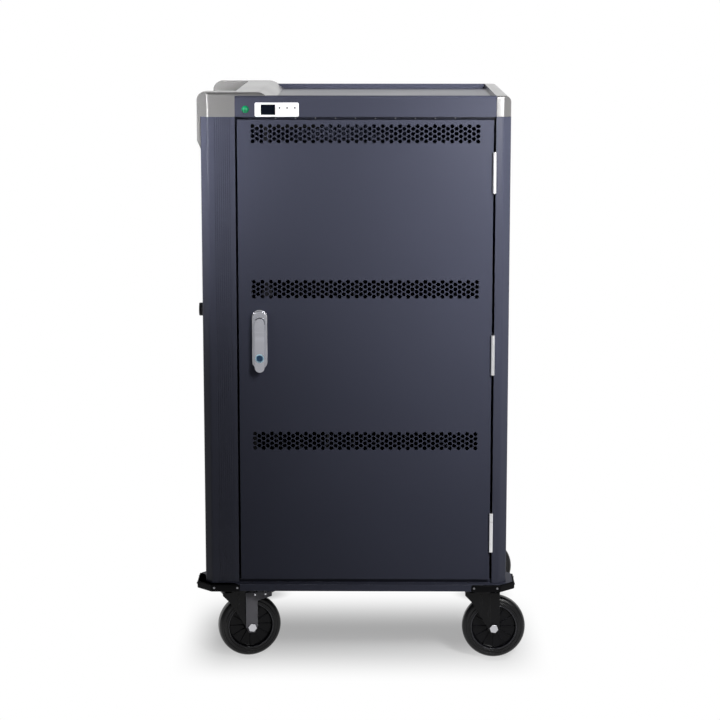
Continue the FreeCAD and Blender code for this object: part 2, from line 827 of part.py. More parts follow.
# Handle: end moulding with a raised pod at each corner, a ramp down to the deck and a grip rail between
def make_handle():
    section = [
        ("left", "fascia_bottom - handle_skirt"),
        ("left", "fascia_bottom"), ("jamb_left", "fascia_bottom"), ("jamb_left", "deck_low"),
        ("deck_left", "deck_low"), ("deck_left", "deck_top"),
        ("jamb_left + handle_flat + handle_ramp_knee", "rim_top"),
        ("jamb_left + handle_flat", "handle_top"), ("handle_left", "handle_top"),
        ("handle_left", "fascia_bottom - handle_skirt + handle_skirt_slant"),
    ]
    profile = new_body("handle_profile")
    block = pad(profile, "handle_block", "XZ", section, "front", "back")
    top_edge = round_edges(profile, "handle_outer_edge", block, "XZ",
                           [("handle_left", "handle_top")], "handle_top_round")
    round_edges(profile, "handle_ramp_top", top_edge, "XZ",
                [("jamb_left + handle_flat", "handle_top")], "ramp_round")
    low = "fascia_bottom - handle_skirt - 1"
    ramp_end = "deck_left + 1"
    plan = new_body("handle_plan")
    front_corner = slanted_corner("handle_left", -1, "front", -1, "corner_chamfer + handle_proud")
    back_corner = slanted_corner("handle_left", -1, "back", 1, "corner_chamfer + handle_proud")
    outline = [(ramp_end, "front"), *front_corner[::-1], *back_corner, (ramp_end, "back")]
    plate = pad(plan, "handle_plan_block", "XY", outline, low, "handle_top + 1")
    round_edges(plan, "handle_plan_corners", plate, "XY", front_corner + back_corner, "corner_round")
    side = new_body("handle_side")
    slab = pad(side, "handle_slab", "YZ", rectangle("front", "back", low, "handle_top"),
               "handle_left - 1", ramp_end)
    round_edges(side, "handle_slab_edges", slab, "YZ",
                [("front", "handle_top"), ("back", "handle_top")], "handle_edge_round")
    solid = common("handle_solid", [profile, plan, side])
    slot = box("handle_slot_space", ("handle_left - 1", "jamb_left"), ("-(handle_slot)", "handle_slot"),
               ("fascia_bottom + handle_floor", "handle_top + 1"))
    lip_room = [
        box(f"handle_{name}_room", ("jamb_left", ramp_end), span, ("deck_low - 1", "rim_top"))
        for name, span in (("front", ("front - 1", "front + lip_width")),
                           ("back", ("back - lip_width", "back + 1")))
    ]
    node("handle_moulding", cut("handle_moulding", solid, [slot] + lip_room))
    rail = new_body("handle_grip_rail")
    grip = rectangle("handle_left", "handle_left + grip_width", "fascia_bottom + handle_floor",
                     "handle_top - grip_drop")
    block = pad(rail, "grip_block", "XZ", grip, "-(handle_slot)", "handle_slot")
    round_edges(rail, "grip_edges", block, "XZ", grip[2:], "grip_round")
    node("handle_grip_rail", rail)


# Control strip: lamp, plate, display and push buttons
def make_controls():
    lamp_x = "jamb_left + lamp_inset"
    lamp_z = "fascia_bottom + lamp_height"
    stem = bar("lamp_stem", "y", "lamp_stem_radius", (lamp_x, "front", lamp_z), "lamp_stem")
    ball = doc.addObject("Part::Sphere", "lamp_ball")
    curve = "((lamp_radius * lamp_radius + lamp_dome * lamp_dome) / (2 * lamp_dome))"
    bind(ball, "Radius", curve)
    for axis, place in zip("xyz", (lamp_x, f"front - lamp_dome + {curve}", lamp_z)):
        bind(ball, f"Placement.Base.{axis}", place)
    cap = box("lamp_cap", (f"{lamp_x} - 2 * lamp_radius", f"{lamp_x} + 2 * lamp_radius"),
              ("front - 2 * lamp_dome", "front"),
              (f"{lamp_z} - 2 * lamp_radius", f"{lamp_z} + 2 * lamp_radius"))
    node("lamp_lens", fuse("lamp_lens", [common("lamp_dome_solid", [ball, cap]), stem]))

    body = new_body("control_plate")
    plate_x = ("plate_left", "plate_left + plate_width")
    plate_z = ("plate_low", "plate_low + plate_height")
    block = pad(body, "plate_block", "XZ", rectangle(*plate_x, *plate_z), "plate_front", "front")
    corners = [(x, z) for x in plate_x for z in plate_z]
    round_edges(body, "plate_corners", block, "XZ", corners, "plate_round")
    count = int(mm("button_count"))
    holes = [((button_x(i), "button_z"), "button_radius + button_clearance") for i in range(count)]
    pocket(body, "plate_holes", "XZ", "plate_front - 1", "front + 1", circles=holes)
    node("control_plate", body)

    middle = "plate_low + plate_height / 2"
    node("display_window", box("display_window",
                               ("plate_left + display_inset", "plate_left + display_inset + display_width"),
                               ("plate_front - display_thick", "plate_front"),
                               (f"{middle} - display_height / 2", f"{middle} + display_height / 2")))
    for i in range(count):
        tip = "plate_front - button_proud"
        flange = "front + fascia_wall + button_flange_gap"
        pin = bar(f"button_pin_{i + 1}", "y", "button_radius", (button_x(i), tip, "button_z"),
                  f"({flange}) - ({tip})")
        disc = bar(f"button_disc_{i + 1}", "y", "button_flange", (button_x(i), flange, "button_z"),
                   "button_flange_thick")
        node(f"button_{i + 1}", fuse(f"button_{i + 1}", [pin, disc]))
    node("controller_box", box("controller_box",
                               ("plate_left - controller_inset",
                                "plate_left - controller_inset + controller_width"),
                               ("header_back", "header_back + controller_depth"),
                               ("deck_low - controller_height", "deck_low")))


# Shelves, device dividers and power strips
def make_inside():
    shelves = []
    dividers = []
    strips = []
    for tier in range(int(mm("tier_count"))):
        floor = f"tier_low + {tier} * tier_spacing"
        body = new_body(f"shelf_{tier + 1}")
        section = [
            ("-(side_inner)", f"{floor} - shelf_flange"),
            ("-(side_inner) + sheet", f"{floor} - shelf_flange"),
            ("-(side_inner) + sheet", f"{floor} - sheet"), ("side_inner - sheet", f"{floor} - sheet"),
            ("side_inner - sheet", f"{floor} - shelf_flange"), ("side_inner", f"{floor} - shelf_flange"),
            ("side_inner", floor), ("-(side_inner)", floor),
        ]
        pad(body, f"shelf_{tier + 1}_tray", "XZ", section, "shelf_front",
            "back - column_side - shelf_back_gap")
        shelves.append(body)
        for i in range(int(mm("divider_count"))):
            middle = f"door_mid_x + ({i} - (divider_count - 1) / 2) * divider_pitch"
            plate = new_body(f"divider_{tier + 1}_{i + 1}")
            shape = [
                ("divider_front", floor), ("divider_front + divider_depth", floor),
                ("divider_front + divider_depth", f"{floor} + divider_height"),
                ("divider_front + divider_nose", f"{floor} + divider_height"),
                ("divider_front", f"{floor} + divider_height - divider_nose"),
            ]
            pad(plate, f"divider_plate_{tier + 1}_{i + 1}", "YZ", shape,
                f"{middle} - divider_thick / 2", f"{middle} + divider_thick / 2")
            dividers.append(plate)
        strips.append(box(f"power_strip_{tier + 1}",
                          ("door_mid_x - strip_width / 2", "door_mid_x + strip_width / 2"),
                          ("back - panel_recess - sheet - strip_depth", "back - panel_recess - sheet"),
                          (f"{floor} + strip_rise - strip_height", f"{floor} + strip_rise")))
    node("shelves", group("shelves", shelves))
    node("device_dividers", group("device_dividers", dividers))
    node("power_strips", group("power_strips", strips))


# Side knob
def make_knob():
    y = "front + knob_setback"
    face = "left + panel_recess"
    flare = doc.addObject("Part::Cone", "knob_flare")
    flare.Placement = FreeCAD.Placement(
        FreeCAD.Vector(), FreeCAD.Rotation(FreeCAD.Vector(0, 0, 1), FreeCAD.Vector(-1, 0, 0)))
    bind(flare, "Radius1", "knob_base_radius")
    bind(flare, "Radius2", "knob_radius")
    bind(flare, "Height", "knob_base")
    for axis, place in zip("xyz", (face, y, "knob_rise")):
        bind(flare, f"Placement.Base.{axis}", place)
    grip = bar("knob_grip", "x", "knob_radius", (f"{face} - knob_length", y, "knob_rise"),
               "knob_length - knob_base")
    shaft = bar("knob_shaft_bar", "x", "knob_shaft_radius", (face, y, "knob_rise"), "knob_shaft")
    node("side_knob", fuse("side_knob", [flare, grip, shaft]))


# Hinges: frame leaves with two knuckles and a pin, door leaves with one; the barrel stands in front of
# the gap beside the door, and the leaves lie along the two walls of that gap
def hinge_places():
    count = int(mm("hinge_count"))
    return [f"hinge_mid_z + ({i} - (hinge_count - 1) / 2) * hinge_spacing" for i in range(count)]


def make_hinges():
    frame_leaves = []
    door_leaves = []
    pins = []
    screws = []
    for i, z in enumerate(hinge_places(), start=1):
        low = f"{z} - hinge_length / 2"
        high = f"{z} + hinge_length / 2"
        centre = ("hinge_x", "hinge_y")
        lower = bar(f"hinge_lower_{i}", "z", "hinge_radius", (*centre, low), "hinge_knuckle")
        upper = bar(f"hinge_upper_{i}", "z", "hinge_radius", (*centre, f"{high} - hinge_knuckle"),
                    "hinge_knuckle")
        plates = [
            box(f"frame_leaf_{i}_{end}", ("jamb_right - leaf_thick", "jamb_right"),
                ("hinge_y", "hinge_y + leaf_frame_width"), span)
            for end, span in (("low", (low, f"{low} + hinge_knuckle")),
                              ("high", (f"{high} - hinge_knuckle", high)))
        ]
        web = box(f"frame_leaf_{i}_web", ("jamb_right - leaf_thick", "jamb_right"),
                  ("hinge_y + hinge_radius + leaf_web_gap", "hinge_y + leaf_frame_width"), (low, high))
        solid = fuse(f"frame_leaf_{i}", [lower, upper, web] + plates)
        bore = bar(f"frame_bore_{i}", "z", "hinge_pin_radius", (*centre, f"{low} - 1"), "hinge_length + 2")
        frame_leaves.append(cut(f"frame_leaf_bored_{i}", solid, [bore]))
        pins.append(bar(f"hinge_pin_{i}", "z", "hinge_pin_radius", (*centre, low), "hinge_length"))

        middle_low = f"{low} + hinge_knuckle + hinge_end_gap"
        middle = f"hinge_length - 2 * (hinge_knuckle + hinge_end_gap)"
        barrel = bar(f"door_knuckle_{i}", "z", "hinge_radius", (*centre, middle_low), middle)
        leaf = box(f"door_leaf_plate_{i}", ("door_right", "door_right + leaf_thick"),
                   ("hinge_y", "hinge_y + leaf_door_width"), (middle_low, f"{middle_low} + {middle}"))
        door_solid = fuse(f"door_leaf_{i}", [barrel, leaf])
        door_bore = bar(f"door_bore_{i}", "z", "hinge_pin_radius + hinge_clearance", (*centre, low),
                        "hinge_length")
        door_leaves.append(cut(f"door_leaf_bored_{i}", door_solid, [door_bore]))

        for k, place in enumerate((f"{low} + leaf_screw_inset", z, f"{high} - leaf_screw_inset"), start=1):
            screws.append(bar(f"hinge_screw_{i}_{k}", "x", "leaf_screw_radius",
                              ("jamb_right - leaf_thick - leaf_screw_head",
                               "hinge_y + leaf_frame_width - leaf_screw_inset", place),
                              "leaf_screw_head"))
    node("hinge_frame_leaves", group("hinge_frame_leaves", frame_leaves))
    node("hinge_door_leaves", group("hinge_door_leaves", door_leaves))
    node("hinge_pins", group("hinge_pins", pins))
    return screws


# Screws and rivets of the cabinet: bumper screws, hinge screws, header rivets
def make_screws(hinge_screws):
    screws = list(hinge_screws)
    z = "base_top - bumper_screw_drop"
    face_y = "base_edge_y + bumper_thick"
    face_x = "ear_x + bumper_thick"
    along_front = ("ear_x - ear_chamfer - bumper_front + bumper_screw_inset",
                   "ear_x - ear_chamfer - bumper_screw_inset")
    along_side = ("base_edge_y - ear_chamfer - bumper_screw_inset",
                  "base_edge_y - ear_chamfer - ear_straight + bumper_screw_inset")
    for name, x_side, y_side in (("front_left", -1, -1), ("front_right", 1, -1),
                                 ("rear_left", -1, 1), ("rear_right", 1, 1)):
        for k, x in enumerate(along_front, start=1):
            start = f"-({face_y}) - bumper_screw_head" if y_side < 0 else face_y
            screws.append(bar(f"bumper_screw_{name}_{k}", "y", "bumper_screw_radius",
                              (f"{sign(x_side)}({x})", start, z), "bumper_screw_head"))
        for k, y in enumerate(along_side, start=3):
            start = f"-({face_x}) - bumper_screw_head" if x_side < 0 else face_x
            screws.append(bar(f"bumper_screw_{name}_{k}", "x", "bumper_screw_radius",
                              (start, f"{sign(y_side)}({y})", z), "bumper_screw_head"))
    for i in range(int(mm("rivet_count"))):
        x = f"door_mid_x + ({i} - (rivet_count - 1) / 2) * rivet_pitch"
        screws.append(bar(f"header_rivet_{i + 1}", "y", "rivet_radius",
                          (x, "header_front - rivet_head", "fascia_bottom - rivet_drop"), "rivet_head"))
    node("cabinet_screws", group("cabinet_screws", screws))


# Door panel: a pan with three bands of hexagonal vents and slots for the lock rods
def vent_wires(middle_z, y):
    """One band of hexagonal holes, in columns that alternate between a full and a short count."""
    pitch = mm("vent_pitch")
    column_step = pitch * math.sqrt(3) / 2
    corner = mm("vent_size") / math.sqrt(3)
    columns = int(mm("vent_columns"))
    wires = []
    for i in range(columns):
        rows = int(mm("vent_rows")) - i % 2
        x = mm("door_mid_x") + (i - (columns - 1) / 2) * column_step
        for j in range(rows):
            z = middle_z + (j - (rows - 1) / 2) * pitch
            hexagon = [(x + corner * math.cos(k * math.pi / 3), z + corner * math.sin(k * math.pi / 3))
                       for k in range(6)]
            wires.append(flat_wire(hexagon, y))
    return wires


def solid_box(x, y, z):
    """A block shape between two numbers along each axis."""
    return Part.makeBox(x[1] - x[0], y[1] - y[0], z[1] - z[0], FreeCAD.Vector(x[0], y[0], z[0]))


ROD_INNER = "rack_root"
ROD_OUTER = "rack_root + rod_width"


def make_door():
    front, back, skin = mm("front"), mm("door_back"), mm("sheet")
    left, right = mm("door_left"), mm("door_right")
    low, high = mm("door_bottom"), mm("door_top")
    spacing = mm("vent_band_spacing")
    middles = [high - mm("vent_top_margin") - band * spacing for band in range(int(mm("vent_bands")))]
    tops = [high] + [z + spacing / 2 for z in middles[1:]]
    strips = []
    for middle_z, top, bottom in zip(middles, tops, tops[1:] + [low]):
        outline = [(left, bottom), (right, bottom), (right, top), (left, top)]
        strips.append(punched_sheet(outline, vent_wires(middle_z, front), front, skin))
    depth = (front + skin, back)
    flanges = [
        solid_box((left, left + skin), depth, (low, high)),
        solid_box((left, right), depth, (low, low + skin)),
        solid_box((left, right), depth, (high - skin, high)),
        solid_box((right - skin, right), depth, (low, high)),
    ]
    gap = mm("rod_slot_gap")
    rod_y = (mm("rod_front") - gap, mm("rod_back") + gap)
    upper_x = (mm(f"lock_x + {ROD_INNER}") - gap, mm(f"lock_x + {ROD_OUTER}") + gap)
    lower_x = (mm(f"lock_x - ({ROD_OUTER})") - gap, mm(f"lock_x - ({ROD_INNER})") + gap)
    openings = [
        solid_box(upper_x, rod_y, (high - 2 * skin, high + 1)),
        solid_box(lower_x, rod_y, (low - 1, low + 2 * skin)),
        Part.makeCylinder(mm("spindle_radius + spindle_hole_gap"), 2 * skin + 2,
                          FreeCAD.Vector(mm("lock_x"), front - 1, mm("spindle_z")), FreeCAD.Vector(0, 1, 0)),
    ]
    node("door_panel", plain_shape("door_panel", strips[0].fuse(strips[1:] + flanges).cut(openings)))


# Lock: base on the door's face, spindle with its pinion, lever, pin, key plug
def obround(body, name, centre_x, centre_z, width, length, low, high):
    """A flat plate with round ends, along Z."""
    half = f"({width}) / 2"
    straight = f"({length}) / 2 - {half}"
    block = pad(body, name, "XZ",
                rectangle(f"{centre_x} - {half}", f"{centre_x} + {half}",
                          f"{centre_z} - ({length}) / 2", f"{centre_z} + ({length}) / 2"), low, high)
    corners = [(f"{centre_x} {s} {half}", f"{centre_z} {t} ({length}) / 2") for s in "+-" for t in "+-"]
    return round_edges(body, name + "_ends", block, "XZ", corners, f"{half} - 0.01")


def make_lock_base():
    plate = new_body("lock_plate")
    obround(plate, "lock_plate_block", "lock_x", "lock_z", "lock_width", "lock_length", "lock_face", "front")
    head = new_body("lock_head")
    obround(head, "lock_head_block", "lock_x", "lock_z", "lock_width - 2 * lock_edge_round",
            "lock_length - 2 * lock_edge_round", "lock_face - lock_head_rise", "lock_face")
    above = box("lock_head_space", ("lock_x - lock_width", "lock_x + lock_width"),
                ("lock_face - lock_head_rise - 1", "lock_face"),
                ("spindle_z + pocket_radius + lock_head_gap", "lock_z + lock_length"))
    solid = fuse("lock_base_solid", [plate, common("lock_head_solid", [head, above])])
    pocket_hole = bar("lock_pocket", "y", "pocket_radius", ("lock_x", "lock_face - 1", "spindle_z"),
                      "lock_thick - lock_pocket_floor + 1")
    bore = bar("lock_bore", "y", "spindle_radius + spindle_clearance",
               ("lock_x", "lock_face - 1", "spindle_z"), "lock_thick + 2")
    node("lock_base", cut("lock_base", solid, [pocket_hole, bore]))


def tooth_outline(radius, count, height, fullness):
    """A ring of straight-sided teeth about the origin."""
    pitch = 2 * math.pi / count
    points = []
    for i in range(count):
        for reach, share in ((-1, 1.35), (1, 0.65), (1, -0.65), (-1, -1.35)):
            angle = i * pitch - share * fullness * pitch / 2
            r = radius + reach * height / 2
            points.append((r * math.cos(angle), r * math.sin(angle)))
    return points


TOOTH_FULLNESS = 0.36


def make_spindle():
    x, z = mm("lock_x"), mm("spindle_z")
    rod_front, rod_back = mm("rod_front"), mm("rod_back")
    pin_y = mm("lever_pin_y")
    toward_back = FreeCAD.Vector(0, 1, 0)
    shaft_front = mm("front - lock_pocket_floor - 1")
    cover_back = mm("door_back") + mm("gearbox_skin")
    shaft = Part.makeCylinder(mm("spindle_radius"), cover_back - shaft_front,
                              FreeCAD.Vector(x, shaft_front, z), toward_back)
    teeth = [(x + u, z + v) for u, v in tooth_outline(mm("pinion_radius"), int(mm("pinion_teeth")),
                                                      mm("tooth_height"), TOOTH_FULLNESS)]
    pinion = Part.Face(flat_wire(teeth, rod_front)).extrude(FreeCAD.Vector(0, rod_back - rod_front, 0))
    half_width, half_height = mm("lug_width") / 2, mm("lug_height") / 2
    lug = solid_box((x - half_width, x + half_width), (pin_y, shaft_front + 1),
                    (z - half_height, z + half_height))
    nose = Part.makeCylinder(half_height, 2 * half_width, FreeCAD.Vector(x - half_width, pin_y, z),
                             FreeCAD.Vector(1, 0, 0))
    hole = Part.makeCylinder(mm("lever_pin_radius"), 2 * half_width + 2,
                             FreeCAD.Vector(x - half_width - 1, pin_y, z), FreeCAD.Vector(1, 0, 0))
    solid = shaft.fuse([pinion, lug, nose]).cut(hole).removeSplitter()
    node("lock_spindle", plain_shape("lock_spindle", solid))


def make_lever():
    body = new_body("lever_blank")
    middle_z = "spindle_z + lever_width / 2 - lever_length / 2"
    obround(body, "lever_block", "lock_x", middle_z, "lever_width", "lever_length",
            "lever_front", "lever_back")
    hollow = new_body("lever_hollow")
    obround(hollow, "lever_hollow_block", "lock_x", middle_z, "lever_width - 2 * lever_wall",
            "lever_length - 2 * lever_wall", "lever_front + lever_wall", "lever_back + 1")
    scoop = bar("lever_scoop", "x", "scoop_radius",
                ("lock_x - lever_width", "lever_front - scoop_radius + scoop_depth",
                 "spindle_z - scoop_drop"),
                "2 * lever_width")
    key_hole = bar("lever_key_hole", "y", "key_radius + key_clearance",
                   ("lock_x", "lever_front - 1", "key_z"), "lever_thick + 2")
    pin_hole = bar("lever_pin_hole", "x", "lever_pin_radius + spindle_clearance",
                   ("lock_x - lever_width", "lever_pin_y", "spindle_z"), "2 * lever_width")
    node("lock_lever", cut("lock_lever", body, [fuse("lever_cuts", [hollow, scoop, key_hole, pin_hole])]))
    node("lever_pin", bar("lever_pin", "x", "lever_pin_radius",
                          ("lock_x - lever_width / 2 + lever_pin_inset", "lever_pin_y", "spindle_z"),
                          "lever_width - 2 * lever_pin_inset"))
    plug = bar("key_plug_bar", "y", "key_radius", ("lock_x", "lever_front - key_proud", "key_z"),
               "lever_thick + key_proud")
    keyway = box("keyway", ("lock_x - keyway_width / 2", "lock_x + keyway_width / 2"),
                 ("lever_front - key_proud - 1", "lever_front - key_proud + keyway_depth"),
                 ("key_z - keyway_height / 2", "key_z + keyway_height / 2"))
    node("key_plug", cut("key_plug", plug, [keyway]))


# Lock rods: flat bars whose racks mesh with the pinion, one each side
def rod_shape(side, end_z):
    """A rod on one side of the spindle, from its rack to end_z."""
    x, z = mm("lock_x"), mm("spindle_z")
    pitch = 2 * math.pi * mm("pinion_radius") / mm("pinion_teeth")
    count = int(mm("rack_teeth"))
    root = mm("rack_root")
    tip = root - mm("tooth_height")
    outer = mm(ROD_OUTER)
    toward_end = 1 if end_z > z else -1
    tail = z - toward_end * (count / 2 + 0.5) * pitch
    flank = TOOTH_FULLNESS * pitch / 2
    edge = [(root, tail)]
    for i in range(count):
        middle = z + toward_end * ((i - (count - 1) / 2) * pitch)
        for reach, share in ((root, -1.35), (tip, -0.65), (tip, 0.65), (root, 1.35)):
            edge.append((reach, middle + toward_end * (share * flank + pitch / 2)))
    outline = edge + [(root, end_z), (outer, end_z), (outer, tail)]
    face = Part.Face(flat_wire([(x + side * u, v) for u, v in outline], mm("rod_front")))
    return face.extrude(FreeCAD.Vector(0, mm("rod_thick"), 0))


def make_rods():
    upper_end = mm("door_top - rod_end_gap")
    lower_end = mm("base_top + rod_end_gap + pinion_radius * pi / 2")
    node("upper_rod", plain_shape("upper_rod", rod_shape(1, upper_end)))
    node("lower_rod", plain_shape("lower_rod", rod_shape(-1, lower_end)))

    # Gearbox cover over the pinion, on four posts, and the guides that hold the rods to the door
    post_y = "door_back - (front + sheet)"
    posts = []
    for k, (s, t) in enumerate((("+", "+"), ("+", "-"), ("-", "+"), ("-", "-")), start=1):
        posts.append(bar(f"gearbox_post_{k}", "y", "gearbox_post",
                         (f"lock_x {s} (gearbox_width / 2 - gearbox_post)", "front + sheet",
                          f"spindle_z {t} (gearbox_height / 2 - gearbox_post)"), post_y))
    cover = box("gearbox_cover", ("lock_x - gearbox_width / 2", "lock_x + gearbox_width / 2"),
                ("door_back", "door_back + gearbox_skin"),
                ("spindle_z - gearbox_height / 2", "spindle_z + gearbox_height / 2"))
    bearing = bar("gearbox_bearing", "y", "spindle_radius + spindle_clearance",
                  ("lock_x", "door_back - 1", "spindle_z"), "gearbox_skin + 2")
    node("lock_gearbox", cut("lock_gearbox", fuse("gearbox_solid", posts + [cover]), [bearing]))

    guides = []
    guide_places = (
        ("upper_far", "+", "door_top - guide_inset"), ("upper_near", "+", "spindle_z + guide_inset"),
        ("lower_near", "-", "spindle_z - guide_inset"), ("lower_far", "-", "door_bottom + guide_inset"),
    )
    for name, side, z in guide_places:
        middle = f"(lock_x {side} (rack_root + rod_width / 2))"
        half = "(rod_width / 2 + rod_clearance)"
        z_span = (f"{z} - guide_height / 2", f"{z} + guide_height / 2")
        block = box(f"guide_block_{name}",
                    (f"{middle} - {half} - guide_wall", f"{middle} + {half} + guide_wall"),
                    ("front + sheet", "door_back"), z_span)
        way = box(f"guide_way_{name}", (f"{middle} - {half}", f"{middle} + {half}"),
                  ("rod_front - rod_clearance", "rod_back + rod_clearance"),
                  (f"{z} - guide_height", f"{z} + guide_height"))
        guides.append(cut(f"guide_{name}", block, [way]))
    node("rod_guides", group("rod_guides", guides))


# Casters, each made about its own kingpin and then set in place and turned
def place_caster_piece(piece, corner):
    x, y = CASTERS[corner]
    piece.Placement = FreeCAD.Placement(FreeCAD.Vector(), FreeCAD.Rotation(mm("swivel_" + corner), 0, 0))
    bind(piece, "Placement.Base.x", x)
    bind(piece, "Placement.Base.y", y)


def place_wheel_piece(piece, corner):
    x, y = CASTERS[corner]
    turn = f"swivel_{corner} * 1 deg"
    piece.Placement = FreeCAD.Placement(FreeCAD.Vector(), FreeCAD.Rotation(mm("swivel_" + corner), 0, 0))
    bind(piece, "Placement.Base.x", f"{x} + caster_trail * cos({turn})")
    bind(piece, "Placement.Base.y", f"{y} + caster_trail * sin({turn})")
    bind(piece, "Placement.Base.z", "wheel_radius")


def leg_outline():
    """Side of the fork: upright behind the axle, sloping in front of it."""
    return [
        ("-fork_half_length", "fork_top"), ("-fork_half_length", "fork_low - fork_cheek"),
        ("-fork_half_length + fork_nose_run", "fork_low - fork_nose_drop"),
        ("caster_trail - fork_axle_round", "wheel_radius"),
        ("caster_trail - fork_axle_round", "wheel_radius - fork_axle_round"),
        ("caster_trail + fork_axle_round", "wheel_radius - fork_axle_round"),
        ("caster_trail + fork_axle_round", "fork_low - fork_heel_drop"),
        ("fork_half_length", "fork_low - fork_cheek"), ("fork_half_length", "fork_top"),
    ]


def make_fork(corner):
    tag = "fork_" + corner
    pieces = []
    for side, (low, high) in (("near", ("-(leg_out)", "-fork_inside")), ("far", ("fork_inside", "leg_out"))):
        leg = new_body(f"{tag}_{side}")
        plate = pad(leg, f"{tag}_{side}_plate", "XZ", leg_outline(), low, high)
        ends = [(f"caster_trail {s} fork_axle_round", "wheel_radius - fork_axle_round") for s in "+-"]
        round_edges(leg, f"{tag}_{side}_end", plate, "XZ", ends, "fork_axle_round - fork_axle_flat")
        pieces.append(leg)
        face = ("leg_out", "leg_out + fork_rib") if side == "far" else ("-(leg_out) - fork_rib", "-(leg_out)")
        for end, x in (("front", "-fork_rib_front"), ("rear", "caster_trail - fork_axle_round")):
            pieces.append(box(f"{tag}_{side}_rib_{end}", (x, f"{x} + fork_rib_width"), face,
                              (f"wheel_radius + fork_rib_{end}_rise", "fork_low")))
    pieces.append(box(tag + "_crown", ("-fork_half_length", "fork_half_length"), ("-(leg_out)", "leg_out"),
                      ("fork_low", "fork_top")))
    pieces.append(bar(tag + "_race", "z", "race_radius", ("0", "0", "fork_top"),
                      "(plate_under - race_clearance) - fork_top"))
    solid = fuse(tag + "_solid", pieces)
    bore = bar(tag + "_kingpin_bore", "z", "kingpin_radius + kingpin_clearance", ("0", "0", "fork_low - 1"),
               "plate_under - fork_low + 2")
    axle_bore = bar(tag + "_axle_bore", "y", "axle_radius",
                    ("caster_trail", "-(leg_out) - 1", "wheel_radius"), "2 * (leg_out) + 2")
    fork = cut(tag, solid, [bore, axle_bore])
    place_caster_piece(fork, corner)
    node(tag, fork)


def make_wheel(corner):
    hub_tag = "hub_" + corner
    half = "hub_width / 2"
    web = "hub_web / 2"
    rim = "tyre_width / 2"
    bore = "axle_radius + axle_clearance"
    hub = turned(hub_tag, [
        (bore, f"-{half}"), ("hub_boss_radius", f"-{half}"), ("hub_boss_radius + hub_draft", f"-{web}"),
        ("hub_radius - hub_rim - hub_draft", f"-{web}"), ("hub_radius - hub_rim", f"-{rim}"),
        ("hub_radius", f"-{rim}"), ("hub_radius", rim), ("hub_radius - hub_rim", rim),
        ("hub_radius - hub_rim - hub_draft", web),
        ("hub_boss_radius + hub_draft", web), ("hub_boss_radius", half), (bore, half),
    ])
    place_wheel_piece(hub, corner)
    node(hub_tag, hub)

    tyre_tag = "tyre_" + corner
    shoulder = "wheel_radius - tyre_round"
    crown = f"({rim} - tyre_round)"
    bevel = "tyre_round * 0.3"
    tyre = turned(tyre_tag, [
        ("hub_radius", f"-{rim}"), (shoulder, f"-{rim}"),
        (f"wheel_radius - {bevel}", f"-{crown} - {bevel} * 1.4"), ("wheel_radius", f"-{crown}"),
        ("wheel_radius", crown),
        (f"wheel_radius - {bevel}", f"{crown} + {bevel} * 1.4"), (shoulder, rim), ("hub_radius", rim),
    ])
    place_wheel_piece(tyre, corner)
    node(tyre_tag, tyre)


def has_brake(corner):
    return corner.endswith("left")


def make_axle(corner):
    tag = "axle_" + corner
    reach = "brake_out" if has_brake(corner) else "leg_out"
    pieces = [
        bar(tag + "_bar", "y", "axle_radius", ("0", f"-({reach})", "0"), f"2 * ({reach})"),
        hex_head(tag + "_head", "y", "axle_head_flats", ("0", f"-({reach}) - axle_head", "0"),
                 "axle_head", 10),
        hex_head(tag + "_nut", "y", "axle_head_flats", ("0", reach, "0"), "axle_head", 20),
    ]
    axle = fuse(tag, pieces)
    place_wheel_piece(axle, corner)
    node(tag, axle)


def make_brake(corner):
    """Brake lever: a strip each side of the fork, hung on the axle, joined by a toe bar."""
    tag = "brake_" + corner
    arm_top = "(fork_top - wheel_radius - brake_drop)"
    outline = [
        ("-brake_strip / 2", "0"), ("-brake_strip / 4", "-brake_strip / 2"),
        ("brake_strip / 4", "-brake_strip / 2"), ("brake_strip / 2", "0"),
        ("brake_strip / 2", f"{arm_top} - brake_arm_height * 1.8"),
        ("brake_arm", f"{arm_top} - brake_arm_height"), ("brake_arm", arm_top), ("-brake_strip / 2", arm_top),
    ]
    pieces = []
    for side, (low, high) in (("near", ("-(brake_out)", "-(brake_in)")), ("far", ("brake_in", "brake_out"))):
        strip = new_body(f"{tag}_{side}")
        pad(strip, f"{tag}_{side}_strip", "XZ", outline, low, high)
        pieces.append(strip)
    pieces.append(box(tag + "_toe", ("brake_arm - brake_toe", "brake_arm"), ("-(brake_out)", "brake_out"),
                      (f"{arm_top} - brake_arm_height", arm_top)))
    solid = fuse(tag + "_solid", pieces)
    hole = bar(tag + "_hole", "y", "axle_radius + axle_clearance", ("0", "-(brake_out) - 1", "0"),
               "2 * (brake_out) + 2")
    brake = cut(tag, solid, [hole])
    place_wheel_piece(brake, corner)
    node(tag, brake)


